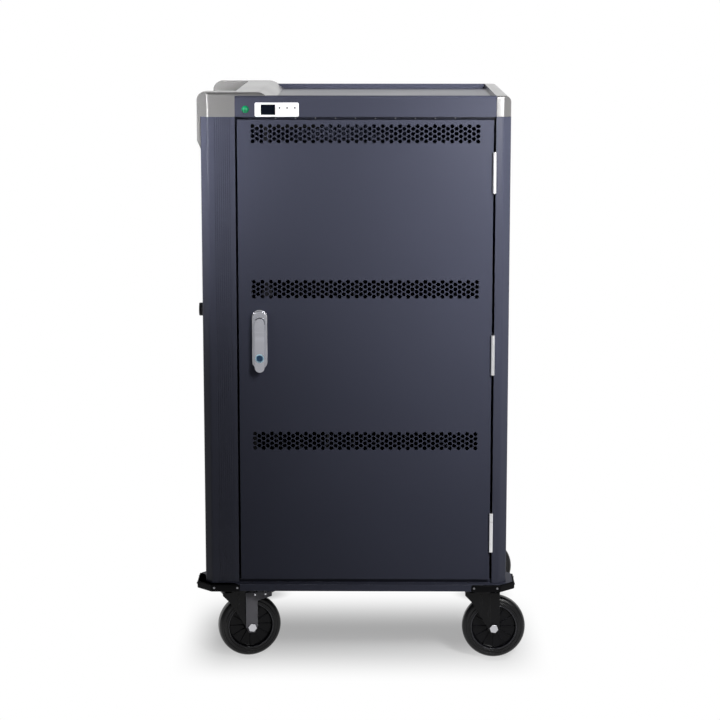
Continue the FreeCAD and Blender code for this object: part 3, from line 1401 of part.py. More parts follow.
def make_caster_plates():
    plates = []
    bolts = []
    under = "plate_under"
    for corner, (x, y) in CASTERS.items():
        tag = "caster_plate_" + corner
        plate = box(tag, (f"{x} - caster_plate_long / 2", f"{x} + caster_plate_long / 2"),
                    (f"{y} - caster_plate_wide / 2", f"{y} + caster_plate_wide / 2"),
                    (under, f"{under} + caster_plate_thick"))
        kingpin = bar(tag + "_kingpin", "z", "kingpin_radius", (x, y, "fork_low - kingpin_head"),
                      f"{under} - (fork_low - kingpin_head)")
        button = bar(tag + "_button", "z", "kingpin_radius + kingpin_rim",
                     (x, y, "fork_low - kingpin_head - race_clearance"), "kingpin_head")
        holes = []
        for k, (s, t) in enumerate((("+", "+"), ("+", "-"), ("-", "+"), ("-", "-")), start=1):
            place = (f"{x} {s} caster_bolt_long / 2", f"{y} {t} caster_bolt_wide / 2")
            holes.append(bar(f"{tag}_hole_{k}", "z", BOLT_HOLE, (*place, f"{under} - 1"),
                             "caster_plate_thick + 2"))
            shank = bar(f"{tag}_shank_{k}", "z", "caster_bolt_radius", (*place, under),
                        "caster_plate_thick + base_skin")
            head = hex_head(f"{tag}_head_{k}", "z", "caster_bolt_flats",
                            (*place, f"{under} - caster_bolt_head"), "caster_bolt_head")
            bolts.append(fuse(f"{tag}_bolt_{k}", [shank, head]))
        plates.append(cut(tag + "_drilled", fuse(tag + "_solid", [plate, kingpin, button]), holes))
    node("caster_plates", group("caster_plates", plates))
    node("caster_bolts", group("caster_bolts", bolts))


make_base()
make_bumpers()
make_columns()
make_panels()
make_inlet()
make_fascia()
make_top()
make_handle()
make_controls()
make_inside()
make_knob()
make_screws(make_hinges())
make_door()
make_lock_base()
make_spindle()
make_lever()
make_rods()
make_caster_plates()
for corner in CASTERS:
    make_fork(corner)
    make_axle(corner)
    make_wheel(corner)
    if has_brake(corner):
        make_brake(corner)
doc.recompute()

# Every object has to be sound, and every cut has to remove something, before anything is written
for thing in doc.Objects:
    if any(word in thing.State for word in ("Invalid", "Error")):
        raise RuntimeError(f"{thing.Label} failed: {thing.State}")
    if thing.TypeId == "PartDesign::Pocket" and thing.Shape.Volume >= thing.BaseFeature.Shape.Volume:
        raise RuntimeError(f"{thing.Label} cuts nothing")
unsound = [name for name, thing in NODES.items() if thing.Shape.isNull() or not thing.Shape.isValid()]
if unsound:
    raise RuntimeError(f"no valid shape: {unsound}")

# The casters and the lock reach past the body unevenly, so what is written is moved to stand with its
# origin on the floor under the middle of the overall box
overall = FreeCAD.BoundBox()
for thing in NODES.values():
    overall.add(thing.Shape.BoundBox)
to_origin = FreeCAD.Vector(-overall.Center.x, -overall.Center.y, -overall.ZMin)

os.makedirs("parts", exist_ok=True)
for name, thing in NODES.items():
    placed = thing.Shape.copy()
    placed.translate(to_origin)
    placed.exportStep(f"parts/{name}.step")
print(len(NODES), "sub-parts written, moved by", to_origin)
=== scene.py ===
import json
import math

import bmesh
import bpy
from mathutils import Matrix, Vector


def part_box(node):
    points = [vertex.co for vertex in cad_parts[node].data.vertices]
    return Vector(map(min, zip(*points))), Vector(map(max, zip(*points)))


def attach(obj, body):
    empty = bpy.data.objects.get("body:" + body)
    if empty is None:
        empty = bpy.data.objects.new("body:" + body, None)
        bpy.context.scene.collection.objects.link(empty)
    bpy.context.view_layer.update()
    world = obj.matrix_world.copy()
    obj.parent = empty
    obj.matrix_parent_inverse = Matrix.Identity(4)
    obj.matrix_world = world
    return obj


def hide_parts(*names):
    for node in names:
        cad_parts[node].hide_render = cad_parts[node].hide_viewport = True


# A charging cabinet on casters: dark powder-coated body, silver end mouldings, satin swing-handle lock,
# black casters, on a white studio floor. Metres, in the frame of the solids: the door faces -Y, +Z is up.

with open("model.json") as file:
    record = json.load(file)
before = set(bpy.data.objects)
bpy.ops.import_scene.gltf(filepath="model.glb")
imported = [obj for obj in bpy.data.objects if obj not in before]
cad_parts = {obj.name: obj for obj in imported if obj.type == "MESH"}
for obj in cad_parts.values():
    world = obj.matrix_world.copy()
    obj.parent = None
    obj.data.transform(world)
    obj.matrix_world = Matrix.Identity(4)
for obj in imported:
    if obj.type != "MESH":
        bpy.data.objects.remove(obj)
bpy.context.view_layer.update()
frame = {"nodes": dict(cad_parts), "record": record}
nodes = frame["nodes"]
record = frame["record"]
body_of = {node: body for body, members in record["behaviour"]["bodies"].items() for node in members}
joint_of = {joint["child"]: joint for joint in record["behaviour"]["joints"]}
CORNERS = ("front_left", "front_right", "rear_left", "rear_right")


def at_corners(stem):
    """The names of the four pieces of one kind, one at each caster."""
    return tuple(f"{stem}_{corner}" for corner in CORNERS)


def put_in_scene(name, data):
    thing = bpy.data.objects.new(name, data)
    bpy.context.scene.collection.objects.link(thing)
    return thing


# Shader nodes
def add_node(tree, kind, inputs=None, **settings):
    """Add a node, set its properties, and link or set its inputs by name or number."""
    node = tree.nodes.new(kind)
    for key, value in settings.items():
        setattr(node, key, value)
    for key, source in (inputs or {}).items():
        socket = node.inputs[key]
        if isinstance(source, bpy.types.NodeSocket):
            tree.links.new(source, socket)
        else:
            socket.default_value = source
    return node


def math_of(tree, operation, first, second=None, clamp=False):
    """One value, or two, put through an operation."""
    values = {0: first} if second is None else {0: first, 1: second}
    return add_node(tree, "ShaderNodeMath", values, operation=operation, use_clamp=clamp).outputs[0]


def ramp(tree, value, start, end, low=0.0, high=1.0, smooth=False):
    """A value that goes from low to high as the given one goes from start to end, and holds outside."""
    kind = "SMOOTHSTEP" if smooth else "LINEAR"
    return add_node(tree, "ShaderNodeMapRange", {
        "Value": value, "From Min": start, "From Max": end, "To Min": low, "To Max": high},
        interpolation_type=kind).outputs[0]


def noise(tree, place, scale, detail):
    return add_node(tree, "ShaderNodeTexNoise", {
        "Vector": place, "Scale": scale, "Detail": detail}).outputs["Fac"]


def mix_colour(tree, factor, first, second):
    """Two colours mixed: a Mix node keeps its colours in inputs 6 and 7 and in output 2."""
    return add_node(tree, "ShaderNodeMix", {0: factor, 6: first, 7: second}, data_type="RGBA").outputs[2]


def object_place(tree):
    return add_node(tree, "ShaderNodeTexCoord").outputs["Object"]


# Shader node groups that several finishes share
def new_effect(name, inputs, outputs):
    """An empty node group with named inputs, each with its default, and named outputs."""
    group = bpy.data.node_groups.new(name, "ShaderNodeTree")
    for label, value in inputs.items():
        socket = group.interface.new_socket(label, in_out="INPUT", socket_type="NodeSocketFloat")
        socket.default_value = value
    for label in outputs:
        group.interface.new_socket(label, in_out="OUTPUT", socket_type="NodeSocketFloat")
    return group, group.nodes.new("NodeGroupInput"), group.nodes.new("NodeGroupOutput")


def grain_effect():
    """Fine even grain, as on powder coat or moulded plastic, and slow drifts of tone."""
    group, given, result = new_effect(
        "Surface grain", {"Scale": 900.0, "Detail": 2.0, "Drift scale": 5.0}, ("Height", "Drift"))
    place = object_place(group)
    fine = noise(group, place, given.outputs["Scale"], given.outputs["Detail"])
    slow = noise(group, place, given.outputs["Drift scale"], 3.0)
    group.links.new(fine, result.inputs["Height"])
    group.links.new(slow, result.inputs["Drift"])
    return group


BRUSHED_STRETCH = (900, 900, 12)


def brushed_effect():
    """Long fine scratches along Z, as on drawn or brushed metal."""
    group, given, result = new_effect("Brushed lines", {"Scale": 1.0}, ("Height",))
    spread = add_node(group, "ShaderNodeVectorMath", {
        0: object_place(group), "Scale": given.outputs["Scale"]}, operation="SCALE")
    stretch = add_node(group, "ShaderNodeMapping", {
        "Vector": spread.outputs[0], "Scale": BRUSHED_STRETCH})
    group.links.new(noise(group, stretch.outputs[0], 1.0, 2.0), result.inputs["Height"])
    return group


def wear_and_highlight_effect():
    """Edges made lighter: rubbing on some finishes, a painted highlight on others; high on sharp corners,
    broken up by a patchy noise.
    """
    group, given, result = new_effect("Edge wear", {"Width": 0.0008, "Amount": 0.5}, ("Mask",))
    rounded = add_node(group, "ShaderNodeBevel", {"Radius": given.outputs["Width"]}, samples=4)
    flat = add_node(group, "ShaderNodeNewGeometry")
    facing = add_node(group, "ShaderNodeVectorMath",
                      {0: rounded.outputs[0], 1: flat.outputs["Normal"]}, operation="DOT_PRODUCT")
    edge = ramp(group, facing.outputs["Value"], start=0.99, end=0.8)
    patches = noise(group, object_place(group), 40.0, 4.0)
    broken = ramp(group, patches, start=0.42, end=0.66, low=0.15)
    edge_lightening = math_of(group, "MULTIPLY", edge, broken)
    scaled = math_of(group, "MULTIPLY", edge_lightening, given.outputs["Amount"], clamp=True)
    group.links.new(scaled, result.inputs["Mask"])
    return group


def dust_effect():
    """A thin film on faces that look up."""
    group, given, result = new_effect("Dust film", {"Amount": 0.2}, ("Mask",))
    normal = add_node(group, "ShaderNodeNewGeometry").outputs["Normal"]
    upward = add_node(group, "ShaderNodeSeparateXYZ", {0: normal}).outputs["Z"]
    level = ramp(group, upward, start=0.6, end=1.0)
    cloud = noise(group, object_place(group), 14.0, 5.0)
    film = math_of(group, "MULTIPLY", level, cloud)
    scaled = math_of(group, "MULTIPLY", film, given.outputs["Amount"], clamp=True)
    group.links.new(scaled, result.inputs["Mask"])
    return group


GRAIN = grain_effect()
BRUSHED = brushed_effect()
WEAR_AND_HIGHLIGHT = wear_and_highlight_effect()
DUST = dust_effect()


# Finishes
def place_effect(tree, group, **values):
    node = add_node(tree, "ShaderNodeGroup", node_tree=group)
    for label, value in values.items():
        node.inputs[label].default_value = value
    return node


def shade_of(colour, share):
    return tuple(min(1.0, c * share) for c in colour[:3]) + (1.0,)


def srgb(red, green, blue):
    """A colour given as it looks on screen, 0 to 255, as linear light."""
    def linear(value):
        v = value / 255
        return v / 12.92 if v <= 0.04045 else ((v + 0.055) / 1.055) ** 2.4
    return (linear(red), linear(green), linear(blue), 1.0)


DUST_COLOUR = (0.36, 0.35, 0.34, 1.0)
ROUGHNESS_DRIFT = 0.1


def finish(name, colour, roughness, grain=900.0, depth=0.00002, drift=0.06, worn_and_highlight=None, wear_and_highlight=0.4,
           wear_and_highlight_width=0.0008, dust=0.0, lines=None, **sockets):
    """A finish with grain, drifting tone, lighter edges, some a painted highlight, and dust; plain sockets
    are set on the shader.
    """
    material = bpy.data.materials.new(name)
    material.use_nodes = True
    tree = material.node_tree
    shader = tree.nodes["Principled BSDF"]
    for label, value in sockets.items():
        shader.inputs[label.replace("_", " ").title().replace("Ior", "IOR")].default_value = value

    texture = place_effect(tree, GRAIN, Scale=grain)
    drifting = texture.outputs["Drift"]
    tone = mix_colour(tree, drifting, shade_of(colour, 1 - drift), shade_of(colour, 1 + drift))
    rough = ramp(tree, drifting, start=0.3, end=0.7, low=roughness * (1 - ROUGHNESS_DRIFT),
                 high=min(1.0, roughness * (1 + ROUGHNESS_DRIFT)))
    height = texture.outputs["Height"]
    if lines:
        height = place_effect(tree, BRUSHED, Scale=lines).outputs["Height"]
    # Lighter edge colour: rubbing on some finishes, a painted edge highlight on others
    if worn_and_highlight:
        mask = place_effect(tree, WEAR_AND_HIGHLIGHT, Width=wear_and_highlight_width, Amount=wear_and_highlight).outputs["Mask"]
        tone = mix_colour(tree, mask, tone, worn_and_highlight)
    if dust:
        film = place_effect(tree, DUST, Amount=dust).outputs["Mask"]
        tone = mix_colour(tree, film, tone, DUST_COLOUR)
    bump = add_node(tree, "ShaderNodeBump", {"Height": height, "Distance": depth, "Strength": 1.0})
    tree.links.new(tone, shader.inputs["Base Color"])
    tree.links.new(rough, shader.inputs["Roughness"])
    tree.links.new(bump.outputs[0], shader.inputs["Normal"])
    return material


POWDER = srgb(58, 60, 73)
POWDER_WORN = srgb(104, 106, 120)
STEEL = srgb(190, 190, 194)

# Powder coat
body_paint = finish("body_powder_coat", POWDER, 0.55, grain=1400, specular_ior_level=0.03,
                    worn_and_highlight=POWDER_WORN, wear_and_highlight=0.3, coat_weight=0.08, coat_roughness=0.2)
deck_paint = finish("deck_powder_coat", POWDER, 0.3, grain=1400, depth=0.000012, specular_ior_level=0.3,
                    worn_and_highlight=POWDER_WORN, wear_and_highlight=0.3, dust=0.05)
# Shelves: near black, painted shade for the dark inside seen through the vents
inner_paint_shaded = finish("inner_powder_coat_shaded", srgb(17, 18, 21), 0.5, grain=1200, specular_ior_level=0.1,
                     worn_and_highlight=srgb(80, 82, 90), dust=0.05)
column_paint = finish("column_powder_coat", POWDER, 0.5, grain=1400, specular_ior_level=0.03,
                      worn_and_highlight=POWDER_WORN, wear_and_highlight=0.3, coat_weight=0.2, coat_roughness=0.18)
# Base: the pale edge colour is a painted highlight along the top front edge
base_paint_lit_edge = finish("base_powder_coat_lit_edge", POWDER, 0.5, grain=1400, specular_ior_level=0.05,
                    worn_and_highlight=srgb(128, 130, 142), wear_and_highlight=0.9, wear_and_highlight_width=0.0016,
                    coat_weight=0.1, coat_roughness=0.2)

# Mouldings, bumpers and casters
silver_plastic = finish("silver_plastic", srgb(132, 131, 131), 0.36, grain=700, depth=0.000012, drift=0.03,
                        worn_and_highlight=srgb(190, 188, 187), wear_and_highlight=0.3, metallic=0.8,
                        coat_weight=0.4, coat_roughness=0.12)
grip_plastic = finish("grip_plastic", srgb(104, 103, 103), 0.55, grain=700, drift=0.03,
                      worn_and_highlight=srgb(150, 149, 148), wear_and_highlight=0.3, specular_ior_level=0.2)
# Bumpers: the lighter edge colour is partly rubbing, partly a painted highlight along the top edge and lip
bumper_black_lit_edges = finish("bumper_black_lit_edges", srgb(8, 8, 10), 0.5, grain=500, depth=0.00004,
                      worn_and_highlight=srgb(60, 60, 64), wear_and_highlight=0.5, wear_and_highlight_width=0.0015, specular_ior_level=0.03,
                      coat_weight=0.08, coat_roughness=0.2)
# Forks: the lighter edge colour is partly rubbing, partly painted highlight lines on the legs and crown
fork_black = finish("fork_black", srgb(9, 9, 11), 0.26, grain=800, specular_ior_level=0.16,
                    worn_and_highlight=srgb(112, 112, 116), wear_and_highlight=0.55, wear_and_highlight_width=0.0012, dust=0.02)
# Tyres: the lighter edge colour paints the highlight rings on the side walls, partly rubbing too
tyre_black_lit_rings = finish("tyre_black_lit_rings", srgb(15, 15, 17), 0.36, grain=420, depth=0.00004,
                    worn_and_highlight=srgb(84, 83, 87), wear_and_highlight=0.7, wear_and_highlight_width=0.0014, specular_ior_level=0.3)
hub_black = finish("hub_black", srgb(12, 12, 15), 0.32, grain=600, depth=0.00003,
                   worn_and_highlight=srgb(70, 70, 78), wear_and_highlight=0.45, wear_and_highlight_width=0.0012, specular_ior_level=0.12)
rim_grey = finish("rim_grey", srgb(40, 40, 46), 0.26, grain=600,
                  worn_and_highlight=srgb(90, 90, 98), specular_ior_level=0.5)
brake_grey = finish("brake_grey", srgb(136, 135, 141), 0.45, grain=500, depth=0.00003, drift=0.12,
                    worn_and_highlight=srgb(150, 150, 155), wear_and_highlight=0.45, specular_ior_level=0.15)

# Metal fittings
zinc = finish("zinc_plate", STEEL, 0.2, grain=260, depth=0.00001, drift=0.12,
              worn_and_highlight=srgb(215, 215, 218), metallic=1.0)
# Rods and gearbox: black zinc plate, kept near black as painted shade where they show through the vents
black_zinc = finish("black_zinc", srgb(26, 26, 29), 0.42, grain=500, depth=0.00001,
                    worn_and_highlight=srgb(70, 70, 74), specular_ior_level=0.1)
bright_steel = finish("bright_steel", srgb(248, 248, 250), 0.3, depth=0.000008, lines=1.0,
                      worn_and_highlight=srgb(245, 245, 247), metallic=1.0)
screw_grey = finish("screw_grey", srgb(132, 132, 136), 0.36, grain=260, depth=0.00001, drift=0.12,
                    worn_and_highlight=STEEL, metallic=1.0)
# Lock base: the near-white edge colour, wide and at full strength, is a painted highlight on its borders
lock_satin = finish("lock_satin", srgb(192, 193, 201), 0.24, grain=1600, depth=0.000012, drift=0.05,
                    worn_and_highlight=srgb(250, 250, 252), wear_and_highlight=1.0, wear_and_highlight_width=0.003, metallic=0.8)
lever_satin = finish("lever_satin", srgb(204, 205, 213), 0.24, grain=1600, depth=0.000012,
                     worn_and_highlight=srgb(226, 226, 232), wear_and_highlight=0.6, metallic=0.8)
contact_brass = finish("contact_brass", srgb(196, 160, 92), 0.3, depth=0.000005, lines=1.0, metallic=1.0)

# Key, controls and inside fittings
key_blue = finish("key_blue", srgb(14, 66, 104), 0.16, depth=0.000005, worn_and_highlight=srgb(120, 180, 205))
key_pale = finish("key_pale_ring", srgb(164, 206, 224), 0.3, depth=0.000005)
plate_white = finish("plate_white", srgb(236, 236, 238), 0.28, depth=0.000006, drift=0.015,
                     worn_and_highlight=srgb(205, 205, 207), wear_and_highlight=0.2)
display_navy = finish("display_navy", srgb(5, 9, 18), 0.1, depth=0.000002, drift=0.1,
                      specular_ior_level=0.06)
button_dark = finish("button_dark", srgb(52, 52, 58), 0.35, depth=0.000006)
lamp_green = finish("lamp_green", srgb(20, 150, 96), 0.1, grain=300, depth=0.000004,
                    transmission_weight=0.3, ior=1.49)
black_plastic = finish("black_plastic", srgb(20, 20, 23), 0.42, grain=650, depth=0.00003,
                       worn_and_highlight=srgb(52, 52, 56), wear_and_highlight=0.3, dust=0.04, specular_ior_level=0.12)
# Dividers: near black, painted shade for the dark inside seen through the vents
divider_grey_shaded = finish("divider_grey_shaded", srgb(16, 16, 19), 0.5, grain=650, depth=0.00003,
                      worn_and_highlight=srgb(96, 98, 104), wear_and_highlight=0.3, dust=0.05, specular_ior_level=0.15)
socket_grey = finish("socket_grey", srgb(70, 71, 76), 0.4, grain=650, worn_and_highlight=srgb(110, 110, 116))

NODE_FINISH = {
    body_paint: ("side_panel_left", "side_panel_right", "rear_panel", "front_fascia", "rear_rail",
                 "door_panel"),
    column_paint: ("column_front_left", "column_front_right", "rear_columns"),
    base_paint_lit_edge: ("base_plate",),
    deck_paint: ("top_deck",),
    inner_paint_shaded: ("shelves",),
    silver_plastic: ("handle_moulding", "right_end_cap"),
    grip_plastic: ("handle_grip_rail",),
    bumper_black_lit_edges: ("corner_bumpers",),
    fork_black: at_corners("fork"),
    tyre_black_lit_rings: at_corners("tyre"),
    hub_black: at_corners("hub"),
    brake_grey: ("brake_front_left", "brake_rear_left"),
    zinc: at_corners("axle") + ("caster_plates", "caster_bolts", "lever_pin", "lock_spindle"),
    screw_grey: ("cabinet_screws",),
    black_zinc: ("upper_rod", "lower_rod", "lock_gearbox"),
    bright_steel: ("hinge_frame_leaves", "hinge_door_leaves", "hinge_pins"),
    lock_satin: ("lock_base",),
    lever_satin: ("lock_lever",),
    key_blue: ("key_plug",),
    plate_white: ("control_plate",),
    display_navy: ("display_window",),
    button_dark: ("button_1", "button_2", "button_3"),
    lamp_green: ("lamp_lens",),
    black_plastic: ("controller_box", "power_strips", "power_inlet", "rod_guides", "side_knob"),
    divider_grey_shaded: ("device_dividers",),
}
finish_of = {node: material for material, names in NODE_FINISH.items() for node in names}
for node, material in finish_of.items():
    nodes[node].data.materials.clear()
    nodes[node].data.materials.append(material)


# Pieces: CAD solids with their edges eased
def smooth_mesh(name, shape):
    """Turn a shape into a mesh whose faces are shaded smooth."""
    for face in shape.faces:
        face.smooth = True
    mesh = bpy.data.meshes.new(name)
    shape.to_mesh(mesh)
    shape.free()
    return mesh


def link_piece(name, mesh, material, body):
    """Show a mesh as a piece with its finish, riding a body."""
    piece = put_in_scene(name, mesh)
    mesh.materials.clear()
    mesh.materials.append(material)
    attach(piece, body)
    return piece


def stand_for(piece, node):
    """The piece is shown in place of this CAD node, which is hidden."""
    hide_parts(node)


SEAM = 1e-6
FLAT_ANGLE = math.radians(0.5)
EASED_ANGLE = math.radians(32)
EASED_SEGMENTS = 2


def ease_edges(piece, width):
    bevel = piece.modifiers.new("eased_edges", "BEVEL")
    bevel.width = width
    bevel.segments = EASED_SEGMENTS
    bevel.limit_method = "ANGLE"
    bevel.angle_limit = EASED_ANGLE
    bevel.harden_normals = True
    weighted = piece.modifiers.new("flat_faces", "WEIGHTED_NORMAL")
    weighted.keep_sharp = True


def eased(node, width):
    """The same solid with its seams merged and its edges eased."""
    shape = bmesh.new()
    shape.from_mesh(nodes[node].data)
    bmesh.ops.remove_doubles(shape, verts=shape.verts, dist=SEAM)
    bmesh.ops.dissolve_limit(shape, angle_limit=FLAT_ANGLE, verts=shape.verts, edges=shape.edges)
    piece = link_piece(node + "_piece", smooth_mesh(node + "_eased", shape), finish_of[node], body_of[node])
    ease_edges(piece, width)
    stand_for(piece, node)


EDGE_WIDTH = {
    0.0025: ("corner_bumpers",),
    0.0022: ("lock_base",),
    0.0012: ("handle_moulding", "handle_grip_rail", "right_end_cap", "lock_lever"),
    0.0008: ("front_fascia", "rear_rail", "side_knob", "brake_front_left", "brake_rear_left",
             "controller_box", "power_strips", "power_inlet") + at_corners("fork"),
    0.0005: ("column_front_left", "column_front_right", "rear_columns", "hinge_frame_leaves",
             "hinge_door_leaves", "control_plate", "key_plug", "shelves", "device_dividers",
             "cabinet_screws", "caster_bolts", "rod_guides", "lock_gearbox", "upper_rod", "lower_rod",
             "top_deck") + at_corners("axle"),
    0.0002: ("display_window", "button_1", "button_2", "button_3", "lamp_lens"),
}
for width, names in EDGE_WIDTH.items():
    for name in names:
        eased(name, width)

# Pieces: turned and moulded shapes
TURNED_SEAM = 1e-7
SHARP_ANGLE = math.radians(35)


def turn_profile(shape, profile, rounding, steps):
    """Spin a closed outline of (radius, along Y) points round the Y axis, its corners rounded first."""
    corners = [shape.verts.new((radius, along, 0)) for radius, along in profile]
    for first, second in zip(corners, corners[1:] + corners[:1]):
        shape.edges.new((first, second))
    bmesh.ops.bevel(shape, geom=corners, offset=rounding, offset_type="OFFSET", affect="VERTICES",
                    segments=3, profile=0.5, material=-1)
    bmesh.ops.spin(shape, geom=shape.verts[:] + shape.edges[:], cent=(0, 0, 0), axis=(0, 1, 0),
                   angle=2 * math.pi, steps=steps, use_merge=True)
    bmesh.ops.remove_doubles(shape, verts=shape.verts, dist=TURNED_SEAM)
    bmesh.ops.recalc_face_normals(shape, faces=shape.faces)


def add_block(shape, size, place, turn=None, rounding=0.0):
    """A block of this size, its edges eased, turned about the origin after it is placed."""
    sized = Matrix.Translation(place) @ Matrix.Diagonal((*size, 1))
    verts = bmesh.ops.create_cube(shape, size=1.0, matrix=sized)["verts"]
    if turn:
        bmesh.ops.transform(shape, matrix=turn, verts=verts)
    if rounding:
        edges = list({edge for vert in verts for edge in vert.link_edges})
        bmesh.ops.bevel(shape, geom=edges, offset=rounding, offset_type="OFFSET", affect="EDGES",
                        segments=2, profile=0.5, material=-1)


def finish_piece(name, shape, material, body, move=None):
    """Turn a shape into a smooth-shaded piece that rides a body."""
    if move:
        bmesh.ops.transform(shape, matrix=move, verts=shape.verts)
    mesh = smooth_mesh(name, shape)
    piece = link_piece(name, mesh, material, body)
    mesh.set_sharp_from_angle(angle=SHARP_ANGLE)
    return piece


def onto_joint(joint):
    """Carries a shape made round the Y axis at the origin to a level joint."""
    x, y, _ = joint["axis"]
    return Matrix.Translation(joint["pos_m"]) @ Matrix.Rotation(math.atan2(-x, y), 4, "Z")


# Outlines of one side of a wheel: radius, and distance from the wheel's middle
TYRE_SIDE = [(0.0485, 0.0148), (0.0503, 0.0148), (0.0512, 0.0160), (0.0528, 0.0160), (0.0540, 0.0146),
             (0.0565, 0.0140), (0.0574, 0.0152), (0.0590, 0.0150), (0.0624, 0.0130), (0.0650, 0.0085),
             (0.0655, 0.0040)]
HUB_SIDE = [(0.0051, 0.0190), (0.0125, 0.0190), (0.0140, 0.0080), (0.0165, 0.0070), (0.0425, 0.0070),
            (0.0446, 0.0085), (0.0456, 0.0145), (0.0485, 0.0147)]
HUB_RIM = [(0.0456, 0.0140), (0.0462, 0.0158), (0.0476, 0.0162), (0.0486, 0.0146)]
TYRE_ROUNDING = 0.0003
HUB_ROUNDING = 0.0005
RIM_ROUNDING = 0.0004
TYRE_STEPS = 128
HUB_STEPS = 96
HUB_RIBS = 12
HUB_RIB = (0.0300, 0.0030, 0.0022)
HUB_RIB_RADIUS = 0.0297
HUB_RIB_ALONG = 0.0080


def both_sides(outline):
    return outline + [(radius, -along) for radius, along in reversed(outline)]


def make_wheel(corner):
    """A tyre with a stepped side wall, and a ribbed hub with a grey rim on each side."""
    wheel = "wheel_" + corner
    move = onto_joint(joint_of[wheel])

    tyre = bmesh.new()
    turn_profile(tyre, both_sides(TYRE_SIDE), TYRE_ROUNDING, TYRE_STEPS)
    stand_for(finish_piece("tyre_tread_" + corner, tyre, tyre_black_lit_rings, wheel, move), "tyre_" + corner)

    hub = bmesh.new()
    turn_profile(hub, both_sides(HUB_SIDE), HUB_ROUNDING, HUB_STEPS)
    for i in range(HUB_RIBS):
        turn = Matrix.Rotation(2 * math.pi * i / HUB_RIBS, 4, "Y")
        for side in (-1, 1):
            add_block(hub, HUB_RIB, (HUB_RIB_RADIUS, side * HUB_RIB_ALONG, 0), turn, HUB_ROUNDING)
    stand_for(finish_piece("hub_disc_" + corner, hub, hub_black, wheel, move), "hub_" + corner)

    for label, side in (("outer", -1), ("inner", 1)):
        rim = bmesh.new()
        turn_profile(rim, [(radius, side * along) for radius, along in HUB_RIM], RIM_ROUNDING, TYRE_STEPS)
        piece = finish_piece(f"hub_rim_{label}_{corner}", rim, rim_grey, wheel, move)


for corner in CORNERS:
    make_wheel(corner)

KEY_RING_RADII = (0.0068, 0.0088)
KEY_RING_FRONT = -0.0004
KEY_RING_BACK = 0.0008
KEY_RING_ROUNDING = 0.0003
KEY_RING_STEPS = 48


def make_key_ring():
    """A pale ring round the key, set into the lever's face."""
    inner, outer = KEY_RING_RADII
    lever_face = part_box("lock_lever")[0][1]
    key = joint_of["key"]["pos_m"]
    ring = bmesh.new()
    turn_profile(ring, [(inner, KEY_RING_FRONT), (outer, KEY_RING_FRONT), (outer, KEY_RING_BACK),
                        (inner, KEY_RING_BACK)], KEY_RING_ROUNDING, KEY_RING_STEPS)
    move = Matrix.Translation((key[0], lever_face, key[2]))
    finish_piece("key_ring", ring, key_pale, "lever", move)


make_key_ring()

BRAKE_BOLTS = (0.007, 0.029)
BRAKE_BOLT_RISE = 0.069
BRAKE_BOLT_ASIDE = 0.0267
BRAKE_BOLT_FOOT = 0.0028
BRAKE_BOLT_TOP = 0.0018
BRAKE_BOLT_HEIGHT = 0.0014


def make_brake_bolts(corner):
    """Two round heads on each strip of a brake lever."""
    brake = "brake_" + corner
    heads = bmesh.new()
    for along in BRAKE_BOLTS:
        for side in (-1, 1):
            place = Matrix.Translation((along, side * BRAKE_BOLT_ASIDE, BRAKE_BOLT_RISE))
            outward = Matrix.Rotation(-side * math.pi / 2, 4, "X")
            bmesh.ops.create_cone(heads, cap_ends=True, segments=24, radius1=BRAKE_BOLT_FOOT,
                                  radius2=BRAKE_BOLT_TOP, depth=BRAKE_BOLT_HEIGHT, matrix=place @ outward)
    piece = finish_piece("brake_bolts_" + corner, heads, zinc, brake, onto_joint(joint_of[brake]))


make_brake_bolts("front_left")
make_brake_bolts("rear_left")

STRIPS = 3
STRIP_HEIGHT = 0.046
SOCKETS_PER_STRIP = 10
SOCKET_PITCH = 0.046
SOCKET_FACE = (0.034, 0.0024, 0.030)
SOCKET_FACE_OUT = 0.0008
SOCKET_FACE_ROUNDING = 0.0008
SLOT_OUT = 0.0019
BLADE_SLOT = (0.0016, 0.0006, 0.0075)
BLADE_ASIDE = 0.0063
BLADE_RISE = 0.004
EARTH_HOLE = (0.0044, 0.0006, 0.0044)
EARTH_DROP = 0.0070


def make_sockets():
    """Outlets in the front of each power strip: a raised face with two blade slots and an earth hole."""
    low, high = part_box("power_strips")
    middle_x = (low[0] + high[0]) / 2
    step = (high[2] - low[2] - STRIP_HEIGHT) / (STRIPS - 1)
    slot_y = low[1] - SLOT_OUT
    faces = bmesh.new()
    slots = bmesh.new()
    for tier in range(STRIPS):
        z = low[2] + STRIP_HEIGHT / 2 + tier * step
        for i in range(SOCKETS_PER_STRIP):
            x = middle_x + (i - (SOCKETS_PER_STRIP - 1) / 2) * SOCKET_PITCH
            add_block(faces, SOCKET_FACE, (x, low[1] - SOCKET_FACE_OUT, z), rounding=SOCKET_FACE_ROUNDING)
            for side in (-1, 1):
                add_block(slots, BLADE_SLOT, (x + side * BLADE_ASIDE, slot_y, z + BLADE_RISE))
            add_block(slots, EARTH_HOLE, (x, slot_y, z - EARTH_DROP))
    finish_piece("socket_faces", faces, socket_grey, "cabinet")
    finish_piece("socket_slots", slots, black_plastic, "cabinet")


INLET_PINS = ((-0.007, -0.002), (0.007, -0.002), (0.0, 0.0025))
INLET_PIN = (0.0020, 0.0130, 0.0045)
INLET_PIN_IN = 0.012
INLET_PIN_ROUNDING = 0.0004


def make_inlet_pins():
    """Three flat pins inside the inlet at the rear."""
    low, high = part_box("power_inlet")
    middle_x = (low[0] + high[0]) / 2
    middle_z = (low[2] + high[2]) / 2
    y = high[1] - INLET_PIN_IN
    pins = bmesh.new()
    for x, z in INLET_PINS:
        add_block(pins, INLET_PIN, (middle_x + x, y, middle_z + z), rounding=INLET_PIN_ROUNDING)
    finish_piece("inlet_pins", pins, contact_brass, "cabinet")


make_sockets()
make_inlet_pins()


